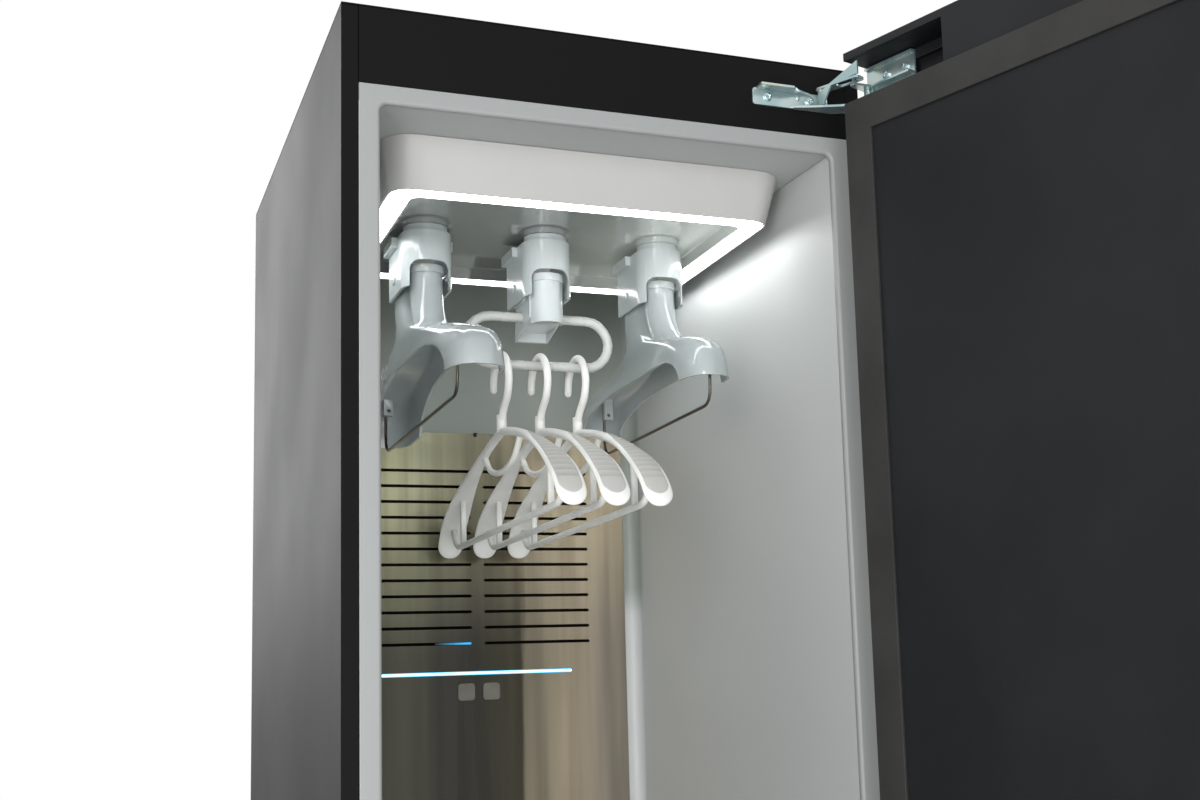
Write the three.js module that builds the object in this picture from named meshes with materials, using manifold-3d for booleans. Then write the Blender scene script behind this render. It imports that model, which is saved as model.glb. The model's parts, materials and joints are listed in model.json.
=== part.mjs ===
// Clothes care steam cabinet: a slim, free-standing garment steamer with its door open.
// Millimetres, +Z up, X across the front, +Y towards the back. The origin lies on the floor
// under the middle of the cabinet's body, without the open door.

import * as THREE from 'three';
import { mergeVertices } from 'three/addons/utils/BufferGeometryUtils.js';
import Module from 'manifold-3d';

const wasm = await Module();
wasm.setup();

// Driving dimensions of the body
const bodyWidth = 445;
const bodyDepth = 560;
const bodyHeight = 1850;
const footHeight = 14;
const skinThickness = 1.5;
const touchGap = 0.3;
const cutOverrun = 4;
const cornerReachShare = 0.4;
const weldTolerance = 0.02;
const frontY = -bodyDepth / 2;
const backY = bodyDepth / 2;
const halfWidth = bodyWidth / 2;

// Driving dimensions of the front and the cabin
const stileWidth = 13;
const stileReturn = 12;
const headerHeight = 63.3;
const headerReturn = 22;
const openingWidth = 386.5;
const openingDrop = 77.5;
const cabinRearWidth = 362;
const cabinDepth = 494;
const cabinCornerRadius = 12;
const flangeEdgeRadius = 3;
const linerThickness = 2.5;
const cabinFloorHeight = 440;
const sillHeight = 18;

// Driving dimensions of the rear panel with its slots and lights
const rearPanelWidth = 328;
const rearPanelThickness = 2.4;
const rearPanelDrop = 246;
const rearPanelFoot = 120;
const slotLength = 116;
const slotHeight = 3;
const slotColumnGap = 13.5;
const slotRowPitch = 16.68;
const slotFirstDrop = 287.5;
const slotRows = 12;
const returnWindowMargin = 14;
const returnDuctDepth = 48;
const lightBarLength = 203.4;
const lightBarHeight = 3.5;
const lightBarDrop = 502.2;
const tileSize = 18;
const tileRadius = 3;
const tileThickness = 0.8;
const tileSpacing = 26.8;
const tileDrop = 521.6;

// Driving dimensions of the lamp in the ceiling
const lampDrop = 118.7;
const lampFrontSetback = 77;
const lampLength = 280;
const lampWidth = 340;
const lampFlare = 9;
const lampFrontFlare = 17;
const lampCornerRadius = 20;
const lampWall = 2;
const ringBandWidth = 20;
const ringThickness = 3;
const recessDepth = 11.7;
const panelRimWall = 2;

// Driving dimensions of the docks that the hangers plug into
const dockSpacing = 112;
const dockSetback = 219;
const collarRadius = 22.8;
const collarWall = 2.4;
const collarTopGap = 6.7;
const collarHeight = 51.3;
const cheekSetback = 272;
const stubRadius = 20.1;
const stubBore = 17.6;
const shelfThickness = 2.2;
const archWidth = 35;
const archHeight = 23;
const archRadius = 7;
const tabLength = 46;
const tabReach = 5;
const tabHeight = 9;
const tabSetback = 256;
const pinSetback = 247;
const pinDrop = 150;
const pinRadius = 3;
const pinClearance = 0.2;
const pinHeadRadius = 4.2;
const pinHeadHeight = 1.2;

// Driving dimensions of the necks that enter the docks
const neckRadius = 15;
const neckWall = 2;
const neckRingRadius = 16.4;
const neckRingHeight = 7;
const neckTopDrop = 144;
const neckSteps = 8;
const neckSides = 14;

// Driving dimensions of the air hangers
const hangerWebHalfWidth = 19;
const hangerWall = 2.2;
const webFrontSetback = 212;
const webFullSetback = 262;
const webWaistSetback = 268;
const archCrownDrop = 235;
const tongueHalfLength = 19;
const leftHanger = {
  halfWidth: 23.2, frontSetback: 12, cornerSetback: 46, rearSetback: 428, rimDrop: 276,
  neckEndSetback: 132, neckEndDrop: 233, archFrontRun: 130, archRearSetback: 352, archRearRun: 115,
  wireFrontSetback: 100, wireRearSetback: 411,
};
const rightHanger = {
  halfWidth: 21.8, frontSetback: 84, cornerSetback: 118, rearSetback: 426, rimDrop: 259.6,
  neckEndSetback: 148, neckEndDrop: 229, archFrontRun: 50, archRearSetback: 400, archRearRun: 126,
  wireFrontSetback: 97, wireRearSetback: 393,
};
const hullNoseSteps = 7;
const archSteps = 7;

// Driving dimensions of the trouser wires under the air hangers
const wireRadius = 1.5;
const wireEyeDrop = 243;
const wireBarDrop = 283;
const wireCornerRadius = 20;
const wirePinLength = 16;
const wireBossGap = 7;
const wireBossWidth = 9;
const bossRise = 20;
const wireSides = 6;

// Driving dimensions of the loop rail and the middle outlet that carries it
const railRadius = 4.6;
const railTopDrop = 177.5;
const railBarDrop = 223.5;
const railHalfLength = 69;
const railSides = 10;
const railBendSteps = 10;
const railSocketDepth = 6;
const outletHalfWidth = 16;
const outletSpoutDrop = 190;
const outletWedgeDrop = 196;
const outletWedgeRun = 25;

// Driving dimensions of the loose garment hangers
const garmentSpacing = 36.7;
const garmentSpan = 433;
const garmentBarDrop = 377;
const garmentBarRadius = 3;
const garmentBarSpan = 364;
const garmentBarReach = 396;
const garmentBarCornerRadius = 14;
const garmentStrutSpacing = 310;
const garmentStrutWidth = 5.6;
const garmentHookRadius = 28;
const garmentHookThickness = 3.5;
const garmentHookSteps = 18;
const garmentSides = 8;
const garmentFrameSides = 6;
const garmentStemRadius = 4.6;
const garmentCrestDrop = 288;
const garmentArchThickness = 8;
const garmentPadWidth = 26;
const garmentPadThickness = 6;
const archRingSides = 10;
const garmentPadDrop = 384;
const garmentNotchHalfSpan = 66;
const garmentNotchDrop = 325;
const garmentNotchRadius = 2.8;
const garmentNotchSteps = 8;

// Driving dimensions of the door and its hinges
const doorThickness = 38;
const doorGap = 3;
const doorSideGap = 0.5;
const doorOpenAngle = 107.5;
const doorFrontThickness = 5;
const doorFrontRadius = 2;
const doorRimWall = 16;
const doorInnerThickness = 3;
const gasketWidth = 29;
const gasketDrop = 46;
const gasketFoot = 60;
const gasketHeight = 2.2;
const gasketGroove = 3;
const pivotInset = 4.4;
const pivotSetforward = 28.4;
const hingePinRadius = 2.6;
const hingeSheet = 2;
const hingePlateLength = 67;
const hingePlateDrop = 27;
const hingePlateHeight = 15;
const hingePlateInset = 35.5;
const hingeFlangeReach = 15;
const hingeFlangeStep = 6;
const hingeCornerRadius = 3;
const hingeKnuckleRadius = 4.2;
const hingeSideClearance = 0.4;
const hingePinProud = 0.5;
const hingeScrewRadius = 4;
const hingeScrewHeight = 1.2;
const hingeScrewSpacing = 39.6;
const hingeArmLength = 52;
const hingeArmDepth = 10;
const hingeArmRise = 19;
const hingeArmLip = 5;
const armNoseShare = 0.8;
const roundEndShare = 0.9;
const hingeArmScrewInset = 10;
const hingeArmScrewRise = 7;
const linkPivotInset = 38.5;
const linkPivotSetforward = 6.8;
const linkRestAngle = -63.3;
const linkLength = 42;
const linkHalfWidth = 5.8;
const linkSheet = 2;
const linkPlateRise = 2;
const linkPinRadius = 1.5;
const linkSlotStart = 21;
const linkSlotEnd = 37.5;
const linkSlotClearance = 2.6;
const linkEyeWall = 1.2;
const linkCrankStart = 5;
const linkCrankEnd = 13;
const linkCrankRise = 5;
const linkTipHigh = 16.5;
const doorPinReach = 19.4;
const doorPinInset = 1.2;
const pocketMargin = 4;
const pocketTopMargin = 20;
const pocketFloor = 2.5;
const pocketLength = 112;
const lowerHingeHeight = 37;

// Driving dimensions of the base, the water tanks and the machine behind them
const baseHeight = 28;
const kickHeight = 46;
const kickReturn = 10;
const footRadius = 17;
const footInset = 42;
const footStudRadius = 5;
const footStudHeight = 12;
const footTaperShare = 0.7;
const bayDepth = 214;
const bayWall = 2.5;
const bayTopDrop = 24;
const tankGap = 2;
const tankSpan = 362;
const tankWall = 2.5;
const tankRadius = 12;
const tankFrontThickness = 6;
const tankGripWidth = 90;
const tankGripHeight = 26;
const tankGripDepth = 16;
const tankGripDrop = 60;
const tankFillerRadius = 22;

// Driving dimensions of the filter, the grille and the machine's inner pieces
const filterWidth = 210;
const filterLength = 90;
const filterHeight = 26;
const filterSetback = 46;
const filterWall = 2;
const filterGripHeight = 4;
const filterGripHalfLength = 16;
const filterRibs = 7;
const filterRibWidth = 3;
const grilleWidth = 236;
const grilleLength = 120;
const grilleSetback = 300;
const grilleSlots = 9;
const grilleSlotWidth = 6;
const grilleThickness = 3;
const grilleProud = 2;
const compressorRadius = 58;
const compressorHeight = 190;
const compressorShoulder = 22;
const compressorFootShare = 0.8;
const compressorCrownShare = 0.75;
const compressorCapShare = 0.3;
const fanOffset = 93.45;
const fanAxisRise = 112;
const fanRadius = 62;
const fanHubRadius = 16;
const fanWidth = 46;
const fanBlades = 16;
const fanBladeLean = 0.5;
const fanBladeThickness = 2.2;
const fanBladeLength = 15;
const fanPlate = 2.5;
const fanShaftRadius = 4;
const fanShaftClearance = 0.3;
const voluteWall = 3;
const voluteClearance = 7;
const voluteGrowth = 22;
const voluteInlet = 48;
const voluteSteps = 26;
const voluteTurnShare = 0.92;
const voluteFootShare = 0.75;
const motorRadius = 38;
const motorLength = 44;
const boilerRadius = 34;
const boilerLength = 150;
const boilerShoulder = 10;
const boilerEndShare = 0.6;
const boilerSaddleShare = 0.7;
const boilerAxisRise = 44.2;
const boilerRearInset = 102;
const exchangerWidth = 150;
const exchangerHeight = 190;
const exchangerDepth = 44;
const exchangerFins = 22;
const exchangerSpine = 5;
const exchangerFin = 2;
const manifoldHeight = 44;
const manifoldDepth = 200;
const manifoldSetback = 110;
const inletWidth = 30;
const inletHeight = 24;
const inletDepth = 22;
const inletWall = 3;
const louvreRows = 8;
const louvreLength = 150;
const louvreHeight = 4;
const louvrePitch = 14;

// Heights and depths are read from the top and from the front face
const depth = (setback) => frontY + setback;
const drop = (fall) => bodyHeight - fall;

// Finishes
const finish = (color, roughness, metalness) =>
  new THREE.MeshStandardMaterial({ color, roughness, metalness });
const blackSteel = finish(0x1c1c1d, 0.42, 0.2);
const blackPlastic = finish(0x202124, 0.55, 0);
const linerGrey = finish(0xb0b2b5, 0.35, 0);
const lampGrey = finish(0xc6c7c8, 0.4, 0);
const panelGrey = finish(0x9ea09f, 0.15, 0);
const lightWhite = finish(0xffffff, 0.5, 0);
const lightCyan = finish(0xbff4ff, 0.5, 0);
const hangerGrey = finish(0xb2babb, 0.2, 0);
const railGrey = finish(0xa5a8a6, 0.35, 0.1);
const hangerWhite = finish(0xe6e6e2, 0.45, 0);
const darkWire = finish(0x5b564d, 0.35, 0.9);
const brushedSteel = finish(0x9b9482, 0.25, 0.9);
const tileGrey = finish(0xb9bcb8, 0.5, 0);
const gasketGrey = finish(0x3a3836, 0.7, 0);
const doorGlass = finish(0x101012, 0.08, 0);
const zincSteel = finish(0xa9b4b2, 0.3, 0.9);
const tankGrey = finish(0x8d9499, 0.15, 0);
const castGrey = finish(0x5a5d60, 0.5, 0.6);
const finAluminium = finish(0xb8babd, 0.35, 0.9);

const cabinet = new THREE.Group();

// Solids: joining and cutting
function solid(geometry) {
  const bare = geometry.clone();
  bare.deleteAttribute('normal');
  bare.deleteAttribute('uv');
  const merged = mergeVertices(bare);
  const mesh = new wasm.Mesh({
    numProp: 3,
    vertProperties: new Float32Array(merged.attributes.position.array),
    triVerts: new Uint32Array(merged.index.array),
  });
  return new wasm.Manifold(mesh);
}

function surface(manifold) {
  const mesh = manifold.asOriginal().simplify(weldTolerance).getMesh();
  const geometry = new THREE.BufferGeometry();
  geometry.setAttribute('position', new THREE.BufferAttribute(new Float32Array(mesh.vertProperties), 3));
  geometry.setIndex(new THREE.BufferAttribute(new Uint32Array(mesh.triVerts), 1));
  geometry.computeVertexNormals();
  return geometry;
}

const join = (first, ...others) => others.reduce((sum, other) => sum.add(other), first);
const cut = (first, ...others) => others.reduce((sum, other) => sum.subtract(other), first);

function place(name, manifold, material, parent = cabinet) {
  const mesh = new THREE.Mesh(surface(manifold), material);
  mesh.name = name;
  parent.add(mesh);
  return mesh;
}

// Plain forms: each runs from a low to a high coordinate along its axis
function block(x0, x1, y0, y1, z0, z1) {
  const geometry = new THREE.BoxGeometry(x1 - x0, y1 - y0, z1 - z0);
  return solid(geometry.translate((x0 + x1) / 2, (y0 + y1) / 2, (z0 + z1) / 2));
}

function extrudeZ(outline, z0, z1, curveSegments = 6) {
  const options = { depth: z1 - z0, bevelEnabled: false, curveSegments };
  return solid(new THREE.ExtrudeGeometry(outline, options).translate(0, 0, z0));
}

// The outline is drawn as (Y, Z)
function extrudeX(outline, x0, x1, curveSegments = 6) {
  const options = { depth: x1 - x0, bevelEnabled: false, curveSegments };
  const geometry = new THREE.ExtrudeGeometry(outline, options);
  const turn = new THREE.Matrix4().makeBasis(
    new THREE.Vector3(0, 1, 0), new THREE.Vector3(0, 0, 1), new THREE.Vector3(1, 0, 0));
  return solid(geometry.applyMatrix4(turn).translate(x0, 0, 0));
}

// The outline is drawn as (X, Z)
function extrudeY(outline, y0, y1, curveSegments = 6) {
  const options = { depth: y1 - y0, bevelEnabled: false, curveSegments };
  const geometry = new THREE.ExtrudeGeometry(outline, options);
  return solid(geometry.rotateX(Math.PI / 2).translate(0, y1, 0));
}

function polygon(points) {
  return new THREE.Shape(points.map(([u, v]) => new THREE.Vector2(u, v)));
}

function roundedRectangle(u0, u1, v0, v1, radius) {
  const shape = new THREE.Shape();
  shape.moveTo(u0 + radius, v0);
  shape.lineTo(u1 - radius, v0);
  shape.absarc(u1 - radius, v0 + radius, radius, -Math.PI / 2, 0);
  shape.lineTo(u1, v1 - radius);
  shape.absarc(u1 - radius, v1 - radius, radius, 0, Math.PI / 2);
  shape.lineTo(u0 + radius, v1);
  shape.absarc(u0 + radius, v1 - radius, radius, Math.PI / 2, Math.PI);
  shape.lineTo(u0, v0 + radius);
  shape.absarc(u0 + radius, v0 + radius, radius, Math.PI, Math.PI * 1.5);
  return shape;
}

function chamferedRectangle(u0, u1, v0, v1, corner) {
  return polygon([
    [u0 + corner, v0], [u1 - corner, v0], [u1, v0 + corner], [u1, v1 - corner],
    [u1 - corner, v1], [u0 + corner, v1], [u0, v1 - corner], [u0, v0 + corner],
  ]);
}

function disc(u, v, radius) {
  const shape = new THREE.Shape();
  shape.absarc(u, v, radius, 0, Math.PI * 2);
  return shape;
}

const rodZ = (x, y, radius, z0, z1, sides = 5) => extrudeZ(disc(x, y, radius), z0, z1, sides);
const rodX = (y, z, radius, x0, x1, sides = 5) => extrudeX(disc(y, z, radius), x0, x1, sides);
const rodY = (x, z, radius, y0, y1, sides = 5) => extrudeY(disc(x, z, radius), y0, y1, sides);

// A closed skin over equal rings of points, capped flat at both ends
function loft(rings) {
  const count = rings[0].length;
  const positions = rings.flat().flatMap((point) => [point.x, point.y, point.z]);
  const index = [];
  for (let ring = 0; ring + 1 < rings.length; ring += 1) {
    for (let i = 0; i < count; i += 1) {
      const a = ring * count + i;
      const b = ring * count + ((i + 1) % count);
      index.push(a, b, b + count, a, b + count, a + count);
    }
  }
  const flat = (ring) => {
    const centre = new THREE.Vector3();
    ring.forEach((point) => centre.addScaledVector(point, 1 / count));
    return centre;
  };
  const first = positions.length / 3;
  const low = flat(rings[0]);
  const high = flat(rings[rings.length - 1]);
  positions.push(low.x, low.y, low.z, high.x, high.y, high.z);
  const last = (rings.length - 1) * count;
  for (let i = 0; i < count; i += 1) {
    const next = (i + 1) % count;
    index.push(first, next, i);
    index.push(first + 1, last + i, last + next);
  }
  const geometry = new THREE.BufferGeometry();
  geometry.setAttribute('position', new THREE.Float32BufferAttribute(positions, 3));
  geometry.setIndex(index);
  return solid(geometry);
}

// Points of straight runs joined by rounded corners, in order
function route(points, radius, cornerSteps = 4) {
  const result = [points[0]];
  for (let i = 1; i + 1 < points.length; i += 1) {
    const corner = points[i];
    const back = corner.clone().sub(points[i - 1]);
    const ahead = points[i + 1].clone().sub(corner);
    const reach = Math.min(radius, back.length() * cornerReachShare, ahead.length() * cornerReachShare);
    const enter = corner.clone().addScaledVector(back.normalize(), -reach);
    const leave = corner.clone().addScaledVector(ahead.normalize(), reach);
    const curve = new THREE.QuadraticBezierCurve3(enter, corner, leave);
    result.push(...curve.getPoints(cornerSteps));
  }
  result.push(points[points.length - 1]);
  return result;
}

// A round bar along points that lie in one plane, whose normal is given
function roundBar(points, radius, sides, normal) {
  const rings = points.map((point, i) => {
    const before = points[Math.max(i - 1, 0)];
    const after = points[Math.min(i + 1, points.length - 1)];
    const back = point.clone().sub(before).normalize();
    const ahead = after.clone().sub(point).normalize();
    const tangent = back.add(ahead).normalize();
    const across = tangent.clone().cross(normal);
    const ring = [];
    for (let k = 0; k < sides; k += 1) {
      const turn = (k / sides) * Math.PI * 2;
      ring.push(point.clone().addScaledVector(normal, radius * Math.cos(turn))
        .addScaledVector(across, radius * Math.sin(turn)));
    }
    return ring;
  });
  return loft(rings);
}

const alongX = new THREE.Vector3(1, 0, 0);
const alongY = new THREE.Vector3(0, 1, 0);

// Outer skin of the body: two folded side sheets, a top sheet, a header and a vented back sheet
function sideSheet(side) {
  const outer = side * halfWidth;
  const inner = side * (halfWidth - skinThickness);
  const edge = side * (halfWidth - stileWidth);
  const lip = side * (halfWidth - stileWidth + skinThickness);
  const rear = backY - skinThickness - touchGap;
  return extrudeZ(polygon([
    [outer, frontY], [outer, rear], [inner, rear], [inner, frontY + skinThickness],
    [lip, frontY + skinThickness], [lip, frontY + stileReturn], [edge, frontY + stileReturn],
    [edge, frontY],
  ]), footHeight, bodyHeight - skinThickness - touchGap);
}

function topSheet() {
  const low = bodyHeight - skinThickness;
  return block(-halfWidth, halfWidth, frontY, backY, low, bodyHeight);
}

function headerSheet() {
  const half = halfWidth - stileWidth - touchGap;
  const high = bodyHeight - skinThickness - touchGap;
  const low = drop(headerHeight);
  const back = frontY + headerReturn;
  const face = frontY + skinThickness;
  return extrudeX(polygon([
    [frontY, low], [back, low], [back, low + skinThickness], [face, low + skinThickness],
    [face, high - skinThickness], [back, high - skinThickness], [back, high], [frontY, high],
  ]), -half, half);
}

function backSheet() {
  const inletX = halfWidth / 2;
  const inletZ = footHeight + baseHeight + inletHeight * 2;
  let sheet = block(-halfWidth, halfWidth, backY - skinThickness, backY, footHeight,
    bodyHeight - skinThickness - touchGap);
  const firstLouvre = inletZ + inletHeight * 2;
  for (let row = 0; row < louvreRows; row += 1) {
    const z = firstLouvre + row * louvrePitch;
    const half = louvreLength / 2;
    const slot = chamferedRectangle(-half, half, z, z + louvreHeight, louvreHeight / 3);
    sheet = cut(sheet, extrudeY(slot, backY - skinThickness - cutOverrun, backY + cutOverrun));
  }
  const hole = block(inletX - inletWidth / 2 - touchGap, inletX + inletWidth / 2 + touchGap,
    backY - skinThickness - cutOverrun, backY + cutOverrun,
    inletZ - inletHeight / 2 - touchGap, inletZ + inletHeight / 2 + touchGap);
  place('back_cover', cut(sheet, hole), blackSteel);

  const half = inletWidth / 2;
  const high = inletHeight / 2;
  const body = block(inletX - half, inletX + half, backY - inletDepth, backY, inletZ - high, inletZ + high);
  const recess = block(inletX - half + inletWall, inletX + half - inletWall,
    backY - inletDepth + inletWall, backY + cutOverrun, inletZ - high + inletWall, inletZ + high - inletWall);
  place('power_inlet', cut(body, recess), blackPlastic);
}

place('left_side_panel', sideSheet(-1), blackSteel);
place('right_side_panel', sideSheet(1), blackSteel);
place('top_panel', topSheet(), blackSteel);
place('header_panel', headerSheet(), blackSteel);
backSheet();

// Base tray on four levelling feet
function baseTray() {
  const half = halfWidth - skinThickness - touchGap;
  const front = frontY + stileReturn + touchGap;
  const rear = backY - skinThickness - touchGap;
  const low = footHeight;
  const high = footHeight + baseHeight;
  const tray = block(-half, half, front, rear, low, high);
  const hollow = block(-half + skinThickness, half - skinThickness, front + skinThickness,
    rear - skinThickness, low + skinThickness, high + cutOverrun);
  let result = cut(tray, hollow);
  for (const [x, y] of footPlaces()) {
    result = cut(result, rodZ(x, y, footStudRadius + touchGap, low - cutOverrun, low + cutOverrun));
  }
  return result;
}

function footPlaces() {
  const x = halfWidth - footInset;
  const y = backY - footInset;
  return [[-x, -y], [x, -y], [-x, y], [x, y]];
}

function foot([x, y]) {
  const profile = [
    [0, 0], [footRadius, 0], [footRadius, footHeight / 2],
    [footRadius * footTaperShare, footHeight - touchGap],
    [footStudRadius, footHeight - touchGap], [footStudRadius, footHeight + footStudHeight],
    [0, footHeight + footStudHeight],
  ];
  const lathe = new THREE.LatheGeometry(profile.map(([r, z]) => new THREE.Vector2(r, z)), 14);
  return solid(lathe.rotateX(Math.PI / 2).translate(x, y, 0));
}

function kickPlate() {
  const half = halfWidth - stileWidth - touchGap;
  const low = footHeight;
  const high = footHeight + kickHeight;
  return extrudeX(polygon([
    [frontY, low], [frontY + kickReturn, low], [frontY + kickReturn, low + skinThickness],
    [frontY + skinThickness, low + skinThickness], [frontY + skinThickness, high - skinThickness],
    [frontY + kickReturn, high - skinThickness], [frontY + kickReturn, high], [frontY, high],
  ]), -half, half);
}

place('base_tray', baseTray(), blackSteel);
place('kick_plate', kickPlate(), blackSteel);
footPlaces().forEach((spot, i) => {
  const names = ['front_left_foot', 'front_right_foot', 'rear_left_foot', 'rear_right_foot'];
  place(names[i], foot(spot), blackPlastic);
});

// Cabin liner: one wrapped wall with a front flange, a ceiling and a floor
const cabinRearY = depth(cabinDepth) + rearPanelThickness + touchGap;
const cabinTop = drop(openingDrop);
const flangeHalf = halfWidth - stileWidth - touchGap;

function cabinOutline(grow) {
  const front = openingWidth / 2 + grow;
  const rear = cabinRearWidth / 2 + grow;
  const back = cabinRearY + grow;
  const radius = cabinCornerRadius + grow;
  return { front, rear, back, radius };
}

function cornerArc(points, x, y, radius, from, to, steps = 4) {
  for (let i = 0; i <= steps; i += 1) {
    const turn = from + ((to - from) * i) / steps;
    points.push([x + radius * Math.cos(turn), y + radius * Math.sin(turn)]);
  }
}

function linerWall() {
  const inside = cabinOutline(0);
  const outside = cabinOutline(linerThickness);
  const edge = flangeEdgeRadius;
  const half = [];
  half.push([flangeHalf, frontY]);
  cornerArc(half, inside.front + edge, frontY + edge, edge, -Math.PI / 2, -Math.PI, 3);
  cornerArc(half, inside.rear - inside.radius, inside.back - inside.radius, inside.radius, 0, Math.PI / 2);
  const outerHalf = [];
  outerHalf.push([flangeHalf, frontY + linerThickness]);
  outerHalf.push([outside.front + edge / 2, frontY + linerThickness]);
  outerHalf.push([outside.front, frontY + linerThickness + edge / 2]);
  cornerArc(outerHalf, outside.rear - outside.radius, outside.back - outside.radius, outside.radius,
    0, Math.PI / 2);
  const mirror = (points) => points.map(([x, y]) => [-x, y]);
  const outline = [...half, ...mirror(half).reverse(), ...mirror(outerHalf), ...outerHalf.slice().reverse()];
  const wall = extrudeZ(polygon(outline), cabinFloorHeight, cabinTop - touchGap);
  const window = rearPanelWidth / 2 - returnWindowMargin;
  const opening = block(-window, window, cabinRearY - cutOverrun, cabinRearY + linerThickness + cutOverrun,
    drop(lightBarDrop - returnWindowMargin), drop(slotFirstDrop - returnWindowMargin));
  return cut(wall, opening);
}

// The ceiling carries the top flange on its front edge
function linerCeiling() {
  return extrudeX(polygon([
    [frontY, cabinTop], [cabinRearY + linerThickness, cabinTop],
    [cabinRearY + linerThickness, cabinTop + linerThickness],
    [frontY + linerThickness, cabinTop + linerThickness],
    [frontY + linerThickness, drop(headerHeight) - touchGap], [frontY, drop(headerHeight) - touchGap],
  ]), -flangeHalf, flangeHalf);
}

// The floor carries the sill below the opening, a well for the filter and one for the grille
function linerFloor() {
  const high = cabinFloorHeight - touchGap;
  const low = high - linerThickness;
  const rear = cabinRearY + linerThickness;
  const plate = extrudeX(polygon([
    [frontY, high - sillHeight], [frontY + linerThickness, high - sillHeight],
    [frontY + linerThickness, low], [rear, low], [rear, high], [frontY, high],
  ]), -flangeHalf, flangeHalf);
  const filter = block(-filterWidth / 2 - touchGap, filterWidth / 2 + touchGap,
    depth(filterSetback) - touchGap, depth(filterSetback + filterLength) + touchGap,
    low - cutOverrun, high + cutOverrun);
  const grille = block(-grilleWidth / 2 + grilleThickness, grilleWidth / 2 - grilleThickness,
    depth(grilleSetback) + grilleThickness, depth(grilleSetback + grilleLength) - grilleThickness,
    low - cutOverrun, high + cutOverrun);
  return cut(plate, filter, grille);
}

place('cabin_liner', linerWall(), linerGrey);
place('liner_ceiling', linerCeiling(), linerGrey);
place('liner_floor', linerFloor(), linerGrey);

// Return duct behind the slotted panel
function returnDuct() {
  const half = rearPanelWidth / 2 - returnWindowMargin / 2;
  const front = cabinRearY + linerThickness + touchGap;
  const rear = front + returnDuctDepth;
  const low = drop(lightBarDrop);
  const high = drop(rearPanelDrop + returnWindowMargin);
  const tray = block(-half, half, front, rear, low, high);
  const hollow = block(-half + linerThickness, half - linerThickness, front - cutOverrun,
    rear - linerThickness, low + linerThickness, high - linerThickness);
  return cut(tray, hollow);
}

// Rear panel with two columns of slots, a light bar and two status tiles
function slotColumns(y0, y1) {
  const cutters = [];
  for (let row = 0; row < slotRows; row += 1) {
    const z = drop(slotFirstDrop + row * slotRowPitch);
    for (const side of [-1, 1]) {
      const near = side * (slotColumnGap / 2);
      const far = side * (slotColumnGap / 2 + slotLength);
      const shape = chamferedRectangle(Math.min(near, far), Math.max(near, far),
        z - slotHeight / 2, z + slotHeight / 2, slotHeight / 3);
      cutters.push(extrudeY(shape, y0, y1));
    }
  }
  return cutters;
}

function rearPanel() {
  const front = depth(cabinDepth);
  const rear = front + rearPanelThickness;
  const half = rearPanelWidth / 2;
  const low = cabinFloorHeight + rearPanelFoot;
  const plate = block(-half, half, front, rear, low, drop(rearPanelDrop));
  const barHalf = lightBarLength / 2 + touchGap;
  const barZ = drop(lightBarDrop);
  const barHigh = lightBarHeight / 2 + touchGap;
  const seat = roundedRectangle(-barHalf, barHalf, barZ - barHigh, barZ + barHigh, barHigh - touchGap / 2);
  const barSlot = extrudeY(seat, front - cutOverrun, rear + cutOverrun, 1);
  const tiles = [-1, 1].map((side) => {
    const x = (side * tileSpacing) / 2;
    const reach = tileSize / 2 + touchGap;
    const z = drop(tileDrop);
    const shape = roundedRectangle(x - reach, x + reach, z - reach, z + reach, tileRadius + touchGap);
    return extrudeY(shape, front - cutOverrun, front + tileThickness, 1);
  });
  return cut(plate, ...slotColumns(front - cutOverrun, rear + cutOverrun), barSlot, ...tiles);
}

function lightBar() {
  const front = depth(cabinDepth);
  const half = lightBarLength / 2;
  const z = drop(lightBarDrop);
  const high = lightBarHeight / 2;
  const shape = roundedRectangle(-half, half, z - high, z + high, high - touchGap / 2);
  return extrudeY(shape, front - touchGap, front + rearPanelThickness, 1);
}

function statusTile(side) {
  const front = depth(cabinDepth);
  const x = (side * tileSpacing) / 2;
  const reach = tileSize / 2;
  const z = drop(tileDrop);
  const shape = roundedRectangle(x - reach, x + reach, z - reach, z + reach, tileRadius);
  return extrudeY(shape, front - touchGap, front + tileThickness - touchGap, 1);
}

place('return_duct', returnDuct(), blackPlastic);
place('rear_panel', rearPanel(), brushedSteel);
place('light_bar', lightBar(), lightCyan);
place('left_status_tile', statusTile(-1), tileGrey);
place('right_status_tile', statusTile(1), tileGrey);

// Lamp: a flared housing, a glowing ring and a recessed glossy panel
const lampHalf = lampWidth / 2;
const lampFront = depth(lampFrontSetback);
const lampBack = lampFront + lampLength;

function roundedRing(half, front, back, radius, z, steps = 4) {
  const points = [];
  const corners = [[half, front, -1], [half, back, 0], [-half, back, 1], [-half, front, 2]];
  for (const [x, y, quarter] of corners) {
    const cx = x - Math.sign(x) * radius;
    const cy = y === front ? y + radius : y - radius;
    for (let i = 0; i <= steps; i += 1) {
      const turn = ((quarter + i / steps) * Math.PI) / 2;
      points.push(new THREE.Vector3(cx + radius * Math.cos(turn), cy + radius * Math.sin(turn), z));
    }
  }
  return points;
}

function lampHousing() {
  const low = drop(lampDrop);
  const high = cabinTop - touchGap;
  const outer = loft([
    roundedRing(lampHalf, lampFront, lampBack, lampCornerRadius, low),
    roundedRing(lampHalf + lampFlare, lampFront - lampFrontFlare, lampBack + lampFrontFlare,
      lampCornerRadius + lampFlare, high),
  ]);
  const wall = lampWall;
  const inner = loft([
    roundedRing(lampHalf - wall, lampFront + wall, lampBack - wall, lampCornerRadius - wall, low - touchGap),
    roundedRing(lampHalf + lampFlare - wall, lampFront - lampFrontFlare + wall,
      lampBack + lampFrontFlare - wall, lampCornerRadius + lampFlare - wall, high + touchGap),
  ]);
  return cut(outer, inner);
}

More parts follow.
